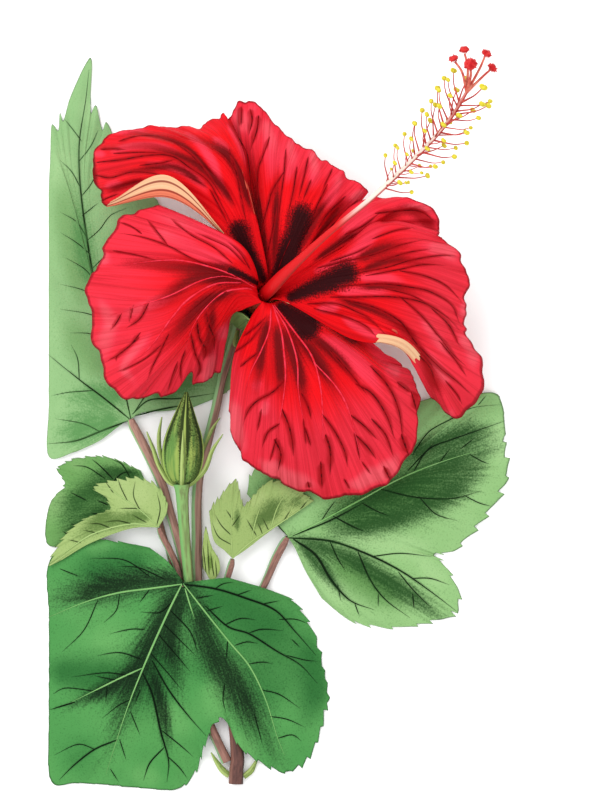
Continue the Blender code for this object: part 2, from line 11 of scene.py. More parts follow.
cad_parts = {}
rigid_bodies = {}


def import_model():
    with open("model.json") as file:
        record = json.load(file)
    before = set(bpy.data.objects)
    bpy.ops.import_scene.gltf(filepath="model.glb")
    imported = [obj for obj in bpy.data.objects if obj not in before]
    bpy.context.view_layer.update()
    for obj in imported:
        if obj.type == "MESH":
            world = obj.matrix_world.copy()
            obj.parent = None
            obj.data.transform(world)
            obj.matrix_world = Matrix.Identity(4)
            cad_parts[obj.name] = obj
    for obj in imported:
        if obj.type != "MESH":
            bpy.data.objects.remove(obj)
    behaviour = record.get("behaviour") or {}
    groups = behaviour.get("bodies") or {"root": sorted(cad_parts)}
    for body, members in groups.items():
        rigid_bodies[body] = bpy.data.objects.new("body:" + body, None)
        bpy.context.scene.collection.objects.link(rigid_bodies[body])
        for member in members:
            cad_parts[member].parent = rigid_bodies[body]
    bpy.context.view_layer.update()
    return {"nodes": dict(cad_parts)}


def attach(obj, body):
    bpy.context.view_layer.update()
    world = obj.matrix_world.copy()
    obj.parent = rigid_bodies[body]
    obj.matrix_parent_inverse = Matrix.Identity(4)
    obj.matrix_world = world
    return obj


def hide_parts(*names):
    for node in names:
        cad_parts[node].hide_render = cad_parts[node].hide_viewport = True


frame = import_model()
print("frame loaded:", len(frame["nodes"]), "nodes")

# The sprig is drawn in millimetres about the middle of its stem and bloom; sprigShift moves it onto the frame.
mm = 0.001
sprigShift = np.array([7.075, 7.59, -0.1])
floorGap = 0.12  # how close to the floor a leaf may come, in millimetres
lightLevel = 1.5  # how brightly the studio lights a level sheet; the paints allow for it


def paint(red, green, blue):
    # a colour given as 0 to 255 screen values, as the shader wants it
    parts = [c / 255 for c in (red, green, blue)]
    parts = [c / 12.92 if c <= 0.04045 else ((c + 0.055) / 1.055) ** 2.4 for c in parts]
    return tuple(c / lightLevel for c in parts) + (1.0,)


def cadName(name):
    # the CAD's name for a piece: petalUpperLeft stands for petal_upper_left
    return re.sub("([A-Z])", r"_\1", name).lower()


# Node trees: shader maths as sums, and one way to add a node to a material or to Geometry Nodes.


class Amount:
    # one number socket, so that shader maths reads as ordinary sums

    def __init__(self, kit, socket):
        self.kit = kit
        self.socket = socket

    def sum(self, operation, other, swapped=False):
        pair = (other, self) if swapped else (self, other)
        return self.kit.amount("ShaderNodeMath", {"operation": operation}, {0: pair[0], 1: pair[1]})

    def __add__(self, other):
        return self.sum("ADD", other)

    def __sub__(self, other):
        return self.sum("SUBTRACT", other)

    def __rsub__(self, other):
        return self.sum("SUBTRACT", other, True)

    def __mul__(self, other):
        return self.sum("MULTIPLY", other)

    __radd__, __rmul__ = __add__, __mul__


class NodeKit:
    # a node tree being put together

    def node(self, kind, settings, sockets):
        made = self.tree.nodes.new(kind)
        for key, value in settings.items():
            setattr(made, key, value)
        for key, value in sockets.items():
            value = value.socket if isinstance(value, Amount) else value
            if isinstance(value, bpy.types.NodeSocket):
                self.tree.links.new(value, made.inputs[key])
            else:
                made.inputs[key].default_value = value
        return made


class Finish(NodeKit):
    # a material being put together

    def __init__(self, name):
        self.material = bpy.data.materials.new(name)
        self.material.use_nodes = True
        self.tree = self.material.node_tree
        self.tree.nodes.clear()

    def amount(self, kind, settings, sockets, output=0):
        return Amount(self, self.node(kind, settings, sockets).outputs[output])

    def painted(self, name):
        return self.amount("ShaderNodeAttribute", {"attribute_name": name}, {}, "Fac")

    def eased(self, value, low, high):
        settings = {"interpolation_type": "SMOOTHSTEP", "clamp": True}
        return self.amount("ShaderNodeMapRange", settings, {0: value, 1: low, 2: high, 3: 0.0, 4: 1.0})

    def mixed(self, factor, first, second):
        settings = {"data_type": "RGBA", "clamp_factor": True}
        return self.node("ShaderNodeMix", settings, {0: factor, 6: first, 7: second}).outputs[2]

    def over(self, under, tint, mask, low, high, share=1.0):
        # lays a tint over a colour as the mask rises from low to high, up to a share of it
        amount = self.eased(mask, low, high)
        return self.mixed(amount if share == 1.0 else amount * share, under, tint)

    def flow(self):
        # the piece's own UV map, round or across it and then along it
        return self.node("ShaderNodeUVMap", {"uv_map": "flow"}, {}).outputs[0]

    def speckle(self, scale, detail, where=None):
        place = where or self.node("ShaderNodeTexCoord", {}, {}).outputs["Object"]
        return self.amount("ShaderNodeTexNoise", {}, {"Vector": place, "Scale": scale, "Detail": detail})

    def fibres(self, across, along, detail):
        # noise drawn out along the piece
        settings = {"Vector": self.flow(), "Scale": (across, along, 1.0)}
        return self.speckle(1.0, detail, self.node("ShaderNodeMapping", {}, settings).outputs[0])

    def closed(self, colour, roughness, relief, depth, shine):
        # the shader itself: relief is a height, depth its size in metres
        raised = self.node("ShaderNodeBump", {}, {"Height": relief, "Strength": 0.6, "Distance": depth})
        shader = self.node("ShaderNodeBsdfPrincipled", {}, {
            "Base Color": colour, "Roughness": roughness, "Normal": raised.outputs[0], "Specular IOR Level": shine})
        self.node("ShaderNodeOutputMaterial", {}, {"Surface": shader.outputs[0]})
        return self.material


def mottled(name, first, other, scale, detail, patches, roughness, depth, shine):
    # a plain finish of two paints; patches says between which noise values they change, and the second's share
    kit = Finish(name)
    patch = kit.speckle(scale, detail)
    colour = kit.over(first, other, patch, *patches)
    return kit.closed(colour, roughness + 0.1 * patch, patch, depth, shine)


# Meshes: curves through points, sheets, tubes and brush strokes.


def spline(values, places):
    # Catmull-Rom through values, whose ends run straight on; places count from the first value
    values = np.asarray(values, float)
    padded = np.concatenate([[2 * values[0] - values[1]], values, [2 * values[-1] - values[-2]]])
    places = np.asarray(places, float)
    i = np.clip(places.astype(int), 0, len(values) - 2)
    f = (places - i).reshape((-1,) + (1,) * (values.ndim - 1))
    a, b, c, d = padded[i], padded[i + 1], padded[i + 2], padded[i + 3]
    return 0.5 * (2 * b + (c - a) * f + (2 * a - 5 * b + 4 * c - d) * f**2 + (3 * b - a - 3 * c + d) * f**3)


def splineOf(values, count):
    # so many points spread along the whole curve
    return spline(values, np.linspace(0, len(values) - 1, count))


def eased(value, low, high):
    f = np.clip((value - low) / (high - low), 0, 1)
    return f * f * (3 - 2 * f)


def bump(value, width):
    # 1 where the value is 0, falling away over the width
    return np.exp(-((value / width) ** 2))


def tapered(t, start, rise, end, fall):
    # 1 along a stroke, falling to start at its beginning and to end at its tip
    return np.minimum(1, np.minimum(start + t / rise, end + (1 - t) / fall))


def waves(u, count, seed):
    # an uneven wavy line over 0 to 1, about count waves long and within -1 to 1
    random = np.random.default_rng(seed)
    line = np.zeros_like(u)
    for share, weight in ((0.45, 0.5), (1.0, 0.9), (1.7, 0.45), (2.9, 0.2)):
        line += weight * np.sin(2 * np.pi * (count * share * u + random.random()))
    return line / 1.6


def unit(vectors):
    return vectors / np.linalg.norm(vectors, axis=-1, keepdims=True)


def gridOf(columns, across, along):
    # the surface through the columns, and where its points lie across and along it, from 0 to 1
    columns = np.asarray(columns, float)
    u, v = np.linspace(0, 1, across), np.linspace(0, 1, along)
    lines = spline(np.swapaxes(columns, 0, 1), v * (columns.shape[1] - 1))
    points = spline(np.swapaxes(lines, 0, 1), u * (columns.shape[0] - 1))
    return points, u[:, None] * np.ones(along), v[None, :] * np.ones((across, 1))


def upward(points):
    # the sheet's normals, on its upper side, and whether its own order of points faces down
    normal = np.cross(np.gradient(points, axis=0), np.gradient(points, axis=1))
    normal /= np.linalg.norm(normal, axis=2, keepdims=True) + 1e-12
    under = normal[..., 2].mean() < 0
    return -normal if under else normal, under


def nearest(spots, path):
    # how far each spot is from a path seen from above, and how far along it the nearest place is
    best, where = np.full(len(spots), 1e9), np.zeros(len(spots))
    for i, (start, end) in enumerate(zip(path[:-1], path[1:])):
        run = end - start
        f = np.clip(((spots - start) @ run) / (run @ run + 1e-12), 0, 1)
        gap = np.linalg.norm(spots - start - f[:, None] * run, axis=1)
        closer = gap < best
        best[closer] = gap[closer]
        where[closer] = ((i + f) / (len(path) - 1))[closer]
    return best, where


def alongStrokes(flat, strokes, stepsFor, spread, margin):
    # for each stroke: its width and path, which points are near it, their distance and place along it
    for width, *places in strokes:
        path = splineOf(places, stepsFor(len(places)) + 1)
        reach = margin * (width * spread)
        near = np.all((flat > path.min(0) - reach) & (flat < path.max(0) + reach), axis=1)
        yield width, path, near, *nearest(flat[near], path)


def stroked(points, strokes, taper=True):
    # how strongly each point is touched by strokes of (half width, place, place, ...), seen from above
    flat = points[..., :2].reshape(-1, 2)
    touched = np.zeros(len(flat))
    for width, path, near, gap, where in alongStrokes(flat, strokes, lambda n: max(8, 6 * (n - 1)), 1.0, 3.2):
        thin = tapered(where, 0.45, 0.2, 0.2, 0.35) if taper else 1.0
        touched[near] = np.maximum(touched[near], bump(gap, width * thin) * np.sqrt(thin))
    return touched.reshape(points.shape[:2])


def washed(points, strokes, spread=1.15, club=False):
    # wide soft washes of colour, which add up where they meet; a club is broad at its start
    flat = points[..., :2].reshape(-1, 2)
    clear = np.ones(len(flat))
    for width, path, near, gap, where in alongStrokes(flat, strokes, lambda n: 4 * n, spread, 3):
        if club:
            narrow, strong = 1.0 - 0.55 * where**1.5, 0.97
        else:
            narrow = 0.5 + 0.6 * np.sin(np.pi * np.clip(0.12 + 0.8 * where, 0, 1))
            strong = 0.92 * np.minimum(1, 0.6 + where / 0.3) * np.minimum(1, 0.15 + (1 - where) / 0.5)
            long = np.linalg.norm(np.diff(path, axis=0), axis=1).sum()
            strong = strong * min(1, long / (4 * width))
        clear[near] *= 1 - strong * bump(gap, width * spread * narrow)
    return (1 - clear).reshape(points.shape[:2])


def widened(strokes, times):
    return [(times * width, *places) for width, *places in strokes]


def placed(name, data):
    # a new object at the origin
    made = bpy.data.objects.new(name, data)
    bpy.context.collection.objects.link(made)
    return made


def smoothMesh(name, vertices, faces):
    mesh = bpy.data.meshes.new(name)
    mesh.from_pydata([tuple(p) for p in vertices], [], faces)
    mesh.polygons.foreach_set("use_smooth", [True] * len(mesh.polygons))
    return mesh


def facedOut(mesh, loose=False):
    # turns a closed mesh's faces to look out, each of its parts by itself where it is loose
    work = bmesh.new()
    work.from_mesh(mesh)
    if loose:
        bmesh.ops.recalc_face_normals(work, faces=work.faces)
    elif work.calc_volume(signed=True) < 0:
        bmesh.ops.reverse_faces(work, faces=work.faces)
    work.to_mesh(mesh)
    work.free()


def declared(piece, slotName, nodes):
    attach(piece, "root")
    if nodes:
        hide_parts(*nodes)
    return piece


def finished(name, vertices, faces, materials, slotName, nodes):
    # a finished piece: its mesh in the frame, its finishes, and what it stands for
    mesh = smoothMesh(name, (vertices + sprigShift) * mm, faces)
    for material in materials:
        mesh.materials.append(material)
    return declared(placed(name, mesh), slotName, nodes)


def quads(across, along, ring, flipped):
    # corner numbers of a grid's faces; a ring's last column meets its first
    c = np.arange(across if ring else across - 1)[:, None]
    r = np.arange(along - 1)[None, :]
    d = (c + 1) % across
    corners = [c * along + r, d * along + r, d * along + r + 1, c * along + r + 1]
    faces = np.stack(corners, axis=-1).reshape(-1, 4)
    return faces[:, ::-1] if flipped else faces


def dressed(piece, maps, u, v):
    # the painted attributes and the flow map, told by vertex
    mesh = piece.data
    for name, values in maps.items():
        layer = mesh.attributes.new(name, "FLOAT", "POINT")
        layer.data.foreach_set("value", np.ascontiguousarray(values, np.float32))
    corner = np.zeros(len(mesh.loops), np.int32)
    mesh.loops.foreach_get("vertex_index", corner)
    layer = mesh.uv_layers.new(name="flow")
    layer.data.foreach_set("uv", np.stack([u[corner], v[corner]], axis=1).astype(np.float32).ravel())


def shell(name, points, thickness, maps, places, materials, slotName, nodes, ring=False):
    # a closed thin sheet on a grid of points: face, back and the narrow edge between them
    across, along = points.shape[:2]
    normal, under = upward(points)
    u, v = places
    thin = 0.35 + 0.65 * eased(1 - v, 0, 0.04)
    if not ring:
        thin = thin * (0.35 + 0.65 * eased(np.minimum(u, 1 - u), 0, 0.02))
    half = (thickness / 2 * thin)[..., None] * normal
    front, back = (points + half).reshape(-1, 3), (points - half).reshape(-1, 3)
    total = across * along
    upper = quads(across, along, ring, False)
    lower = quads(across, along, ring, True) + total
    grid = np.arange(total).reshape(across, along)
    if ring:
        edges = [np.append(grid[:, 0], grid[0, 0]), np.append(grid[:, -1], grid[0, -1])[::-1]]
    else:
        edges = [grid[:, 0], grid[::-1, -1], grid[0, ::-1], grid[-1]]
    rim = [np.stack([line[1:], line[:-1], line[:-1] + total, line[1:] + total], axis=1) for line in edges]
    faces = np.concatenate([upper, lower] + rim)
    faces = faces[:, ::-1] if under else faces
    piece = finished(name, np.concatenate([front, back]), faces.tolist(), materials, slotName, nodes)
    which = np.zeros(len(faces), np.int32)
    which[len(upper):len(upper) + len(lower)] = len(materials) - 1
    piece.data.polygons.foreach_set("material_index", which)
    both = {key: np.tile(values.ravel(), 2) for key, values in maps.items()}
    dressed(piece, both, np.tile(u.ravel(), 2), np.tile(v.ravel(), 2))
    return piece


# Raised veins, in millimetres, with tip as a share of a step.
threadMake = {
    "step": 0.9,  # the length of a step along a vein
    "edge": 0.8,  # how far past the sheet's rim a vein still follows its slope
    "stray": 2.0,  # how far past it a vein may run before it is left out
    "lift": 0.09,  # how high its middle lies over the sheet
    "tip": 0.3,  # how far its pointed ends run on
}


def threads(name, points, allowed, strokes, share, material, slotName):
    # fine veins laid along the strokes on the sheet's upper side: flat, four-sided, drawn out to points
    normal = upward(points)[0].reshape(-1, 3)
    spots = points.reshape(-1, 3)
    tree = KDTree(int(allowed.sum()))
    for i in np.flatnonzero(allowed.ravel()):
        tree.insert((*spots[i, :2], 0.0), int(i))
    tree.balance()
    vertices, faces = [], []
    for width, *places in strokes:
        knots = np.asarray(places, float)
        length = np.linalg.norm(np.diff(knots, axis=0), axis=1).sum()
        steps = max(6, int(length / threadMake["step"]))
        path = np.column_stack([splineOf(knots, steps), np.zeros(steps)])
        up = np.zeros((steps, 3))
        away = 0.0
        for i, spot in enumerate(path):
            near = tree.find_n(spot, 4)
            which = [n[1] for n in near]
            weight = np.array([1 / (n[2] ** 2 + 0.01) for n in near])
            weight /= weight.sum()
            lean = normal[which].copy()
            lean[:, 2] = np.maximum(lean[:, 2], 0.25)
            slope = -lean[:, :2] / lean[:, 2:] * (near[0][2] < threadMake["edge"])
            step = spot[:2] - spots[which, :2]
            up[i] = weight @ lean
            spot[2] = weight @ (spots[which, 2] + (slope * step).sum(axis=1))
            away = max(away, near[0][2])
        if away > threadMake["stray"]:
            continue
        ahead = np.gradient(path, axis=0)
        side = unit(np.cross(ahead, up))
        half = width * share * tapered(np.linspace(0, 1, steps), 0.6, 0.3, 0.12, 0.55)[:, None]
        path = path + unit(up) * threadMake["lift"]
        around = [path + side * half, path + up * half * 0.35, path - side * half, path - up * half * 0.9]
        first = len(vertices)
        vertices += [path[0] - ahead[0] * threadMake["tip"]] + np.stack(around, axis=1).reshape(-1, 3).tolist()
        vertices += [path[-1] + ahead[-1] * threadMake["tip"]]
        corners = [(first + 1 + k, first + 1 + (k + 1) % 4) for k in range(4)]
        faces += [(a + i, b + i, b + i + 4, a + i + 4) for i in range(0, 4 * steps - 4, 4) for a, b in corners]
        for a, b in corners:
            faces += [(first, b, a), (first + 1 + steps * 4, a + 4 * steps - 4, b + 4 * steps - 4)]
    if faces:
        facedOut(finished(name, np.array(vertices), faces, [material], slotName, []).data, loose=True)


def tube(name, knots, sides, steps, materials, slotName, nodes, section=None, maps=None):
    # a round member through (x, y, z, radius), whose section and paint follow the rules given for them
    knots = np.asarray(knots, float)
    t = np.linspace(0, 1, steps)
    line = spline(knots, t * (len(knots) - 1))
    centre, radius = line[:, :3], np.maximum(line[:, 3], 0.05)
    ahead = unit(np.gradient(centre, axis=0))
    side = np.zeros_like(ahead)
    side[0] = np.cross(ahead[0], (0, 0, 1)) if abs(ahead[0, 2]) < 0.95 else (1, 0, 0)
    for i in range(steps):
        guide = side[i - 1] if i else side[0]
        side[i] = guide - ahead[i] * (guide @ ahead[i])
        side[i] /= np.linalg.norm(side[i])
    over = np.cross(side, ahead)
    turn = np.linspace(0, 2 * np.pi, sides, endpoint=False)
    wide, high = section(turn[:, None], t[None, :]) if section else (1.0, 1.0)
    out = (side[None] * (np.cos(turn)[:, None] * wide)[..., None]
           + over[None] * (np.sin(turn)[:, None] * high)[..., None])
    points = centre[None] + out * radius[None, :, None]
    total = sides * steps
    vertices = np.concatenate([points.reshape(-1, 3), centre[:1], centre[-1:]])
    faces = quads(sides, steps, True, False).tolist() + tubeCaps(sides, steps, False)
    piece = finished(name, vertices, faces, materials, slotName, nodes)
    ends = [0, 0]
    painted = {"leftward": np.append(-unit(out)[..., 0].ravel(), ends)}
    for key, rule in (maps or {}).items():
        painted[key] = np.append((rule(turn[:, None], t[None, :]) * np.ones((sides, steps))).ravel(), ends)
    u = np.append(np.repeat(turn / (2 * np.pi), steps), ends)
    dressed(piece, painted, u, np.append(np.tile(t, sides), [0, 1]))
    facedOut(piece.data)
    return piece


def tubeCaps(sides, steps, flipped):
    # the pointed ends of a tube, round the two points that follow its rings
    total = sides * steps
    ring = np.arange(sides) * steps
    pairs = [(int(a), int(b)) for a, b in zip(ring, np.roll(ring, -1))]
    caps = [(b, a, total) for a, b in pairs] + [(a + steps - 1, b + steps - 1, total + 1) for a, b in pairs]
    return [cap[::-1] for cap in caps] if flipped else caps


# Petals: paints, the face and the back.

# the palest pink is a painted highlight, used only where the light washes reach the rim
petalColours = {
    "red": paint(248, 8, 20), "deep": paint(218, 0, 12), "crimson": paint(164, 0, 10), "dark": paint(100, 0, 4),
    "pink": paint(255, 60, 84), "rib": paint(240, 36, 52), "blushAndHighlight": paint(255, 118, 128), "vein": paint(88, 0, 8),
    "blotch": paint(30, 0, 4), "cream": paint(250, 204, 158), "apricot": paint(240, 128, 96),
    "backVein": paint(140, 30, 20),
}


def petalFace():
    kit = Finish("petalFace")
    hue = petalColours
    streak = kit.fibres(95.0, 3.0, 4.0)
    patch = kit.fibres(9.0, 2.2, 2.0)
    band = kit.fibres(30.0, 1.2, 2.0)
    hair = kit.fibres(60.0, 1.3, 2.0) - 0.5
    hair = 1.0 - 320.0 * hair * hair
    grain = kit.speckle(2200.0, 2.0)
    near = 1.0 - kit.painted("rim")
    rim = kit.painted("rim") * (0.7 + 0.7 * patch)
    glow = kit.painted("glow")
    valley = kit.painted("valley") + 0.35 * (streak - 0.5) + 0.4 * (grain - 0.5)
    stain = kit.painted("blotch") + 0.5 * (streak - 0.5) + 0.9 * (grain - 0.5)
    # the ground colour, paler towards the rim, with painted highlights laid over it
    colour = kit.over(hue["red"], hue["deep"], patch, 0.35, 0.7, 0.6)
    colour = kit.over(colour, hue["pink"], rim + 0.5 * (streak - 0.5), 0.15, 0.95, 0.62)
    # painted highlights: pink where the light washes lie, and palest pink where they meet the rim
    colour = kit.over(colour, hue["pink"], glow + 0.4 * streak - 0.2, 0.15, 0.9, 0.9)
    colour = kit.over(colour, hue["blushAndHighlight"], glow * rim, 0.35, 1.0, 0.45)
    # fine brushwork along the petal
    for mask, low, high, share in ((band, 0.48, 0.72, 0.4), (hair, 0.2, 1.0, 0.26), (grain, 0.54, 0.8, 0.2)):
        colour = kit.over(colour, hue["crimson"], mask, low, high, share)
    # painted shade in the folds, darker towards the throat; then the throat and its blotch, and the drawn edge
    # painted shade: crimson in the folds, near-black where they run into the throat
    colour = kit.over(colour, hue["crimson"], valley, 0.1, 0.85, 0.85)
    colour = kit.over(colour, hue["dark"], valley * (0.35 + 0.9 * near), 0.55, 1.1, 0.85)
    colour = kit.over(colour, hue["deep"], near + 0.25 * (streak - 0.5), 1.02, 1.12, 0.5)
    colour = kit.over(colour, hue["crimson"], kit.painted("line") + 0.3 * streak - 0.15, 0.2, 0.9, 0.75)
    colour = kit.over(colour, hue["crimson"], stain, 0.25, 0.6)
    colour = kit.over(colour, hue["blotch"], stain, 0.36, 0.85, 0.95)
    colour = kit.over(colour, hue["dark"], kit.painted("border") + 0.6 * (streak - 0.5), 0.3, 1.0, 0.7)
    relief = 0.6 * streak + 0.4 * grain
    return kit.closed(colour, 0.55 + 0.2 * streak, relief, petalMake["relief"], petalMake["shine"])


def petalBack():
    kit = Finish("petalBack")
    hue = petalColours
    streak = kit.fibres(80.0, 3.0, 4.0)
    colour = kit.over(hue["cream"], hue["apricot"], streak, 0.3, 0.75, 0.45)
    colour = kit.over(colour, hue["apricot"], kit.painted("fold"), 0.2, 0.9)
    colour = kit.over(colour, hue["backVein"], kit.painted("backLine"), 0.25, 0.8, 0.85)
    colour = kit.mixed(kit.painted("hidden") * 0.8, colour, hue["deep"])
    return kit.closed(colour, 0.6 + 0.15 * streak, streak, petalMake["relief"], petalMake["shine"])


# Claw: angle, radius in the calyx and radius at the throat for both edges. Veins run from one edge to
# the other, each as belly, shoulder and rim points.
petalShapes = {
    "petalLeft": {"claw": ((146, 3.5, 4.4), (238, 3.9, 5.2)), "veins": [
        [(-17.5, 47.5, 42), (-29.5, 54.5, 38), (-44, 61, 30)],
        [(-20, 43, 44), (-34, 49.5, 41), (-57, 56.5, 27)],
        [(-22.5, 39.5, 43), (-40.5, 43, 38), (-62.5, 44.5, 22)],
        [(-23.5, 38, 41), (-43.5, 32, 38), (-67.5, 34, 20)],
        [(-24, 35.5, 41), (-42, 22, 36), (-64.5, 16, 16)],
        [(-23.5, 33.5, 42), (-40, 15.5, 34), (-57, 1.5, 14)],
        [(-22.5, 32.5, 41), (-34.5, 17, 31), (-44.5, 0.5, 13)],
        [(-20, 32, 38), (-29, 17.5, 28), (-33, 4.5, 12)],
        [(-17.6, 28.4, 33), (-22, 25.5, 28), (-25.4, 9.5, 14)]]},
    "petalUpperLeft": {"claw": ((150, 4.3, 6.2), (92, 3.8, 4.6)), "veins": [
        [(-25.5, 54.5, 38.5), (-41.5, 70, 40), (-60, 62.5, 22)],
        [(-25.5, 53, 36.5), (-41, 63.5, 37.5), (-61, 61, 19.5)],
        [(-25, 56.5, 35.5), (-42, 66, 34.5), (-63, 63.5, 17.5)],
        [(-23.5, 62.5, 37.5), (-43.5, 73, 35), (-66, 71, 17.5)],
        [(-22, 68.5, 40), (-42, 79.5, 35), (-63, 81.5, 19)],
        [(-21, 71, 40), (-37.5, 82, 34), (-52, 85.5, 22)],
        [(-19.5, 72, 40), (-31, 81, 34), (-40.5, 86, 24)],
        [(-17.5, 71, 40), (-25, 82, 34), (-30.5, 86.5, 26)],
        [(-16, 67, 39), (-19.5, 81, 34), (-24.5, 89.5, 28)],
        [(-15, 62.5, 37), (-17, 78, 33), (-22, 88.5, 28)]]},
    "petalTop": {"claw": ((98, 4.3, 6), (38, 3.8, 4.6)), "veins": [
        [(-15, 54, 32), (-20, 72, 27), (-23.5, 88, 22)],
        [(-13, 57.5, 35), (-16.5, 75, 31), (-18, 94, 24)],
        [(-10.5, 58.5, 37), (-12, 76.5, 34), (-12, 91.5, 26)],
        [(-7.5, 59, 38), (-7, 75, 36), (-5.5, 84.5, 30)],
        [(-3.5, 58.5, 38), (-1, 70, 37), (2.5, 78, 32)],
        [(0, 57.5, 38), (5.5, 68, 37), (9.5, 74, 33)],
        [(3.5, 55, 37), (10.5, 64.5, 36), (15.5, 69.5, 34)],
        [(6.8, 49.5, 34.5), (15.5, 57.5, 33.5), (21.5, 65, 33)]]},
    "petalRight": {"claw": ((40, 3.9, 4.9), (-46, 3.7, 4.5)), "veins": [
        [(5.5, 48.5, 38.5), (15, 59.5, 40), (23.5, 63.5, 36)],
        [(10.5, 47.5, 40.5), (25.5, 57.5, 40), (39, 61.5, 34)],
        [(12, 46.2, 40), (27.5, 54, 36.5), (44, 54, 30)],
        [(12.2, 46.6, 42.6), (25.5, 55.2, 43.5), (43, 51.5, 36)],
        [(13, 44.5, 43), (30.5, 51, 44.5), (45.5, 49.5, 34.5)],
        [(14.5, 41.5, 44), (34.5, 44, 44), (52.5, 40.5, 30)],
        [(14.5, 38, 43), (35.5, 37, 43), (52.5, 31.5, 27)],
        [(13.5, 34, 42), (35, 30.5, 42), (51.5, 24, 24)],
        [(12.5, 31, 41), (32.5, 24, 41), (55.5, 16, 18)],
        [(11, 29, 40), (31, 21, 39.5), (58.5, 5, 12)],
        [(10.5, 26.8, 38), (34, 18.2, 38), (50.5, -5.5, 8)],
        [(15.2, 19.8, 36.2), (31.4, 15.8, 37.4), (42.8, 0.4, 10)],
        [(14.4, 22.2, 34.8), (33, 18.4, 41.4), (44.8, 3.6, 10.6)]]},
    "petalLower": {"claw": ((236, 4, 4.9), (330, 4.4, 6.2)), "veins": [
        [(-15.5, 25.5, 34), (-21, 13, 28), (-22.5, -4, 18)],
        [(-13.5, 20.5, 37), (-17, 4.5, 31), (-19.5, -16, 14)],
        [(-10, 15.5, 39), (-10.5, -0.5, 33), (-12, -23, 11)],
        [(-5.5, 13, 40), (-3.5, -6.5, 33), (-1.5, -28, 10)],
        [(-1, 12, 40), (5.5, -8, 33), (11.5, -31, 10)],
        [(3.5, 13, 38), (14, -5.5, 32), (25.5, -27.5, 10)],
        [(8.5, 15.5, 36), (22, 0, 31), (35.5, -16, 12)],
        [(12.5, 18, 34), (27.5, 6.5, 30), (37.5, 0.5, 16)],
        [(14, 20.5, 31), (24.5, 12.5, 28), (34, 10, 20)],
        [(9.5, 28.5, 30), (20.6, 21, 28), (25, 13, 24)]]},
}
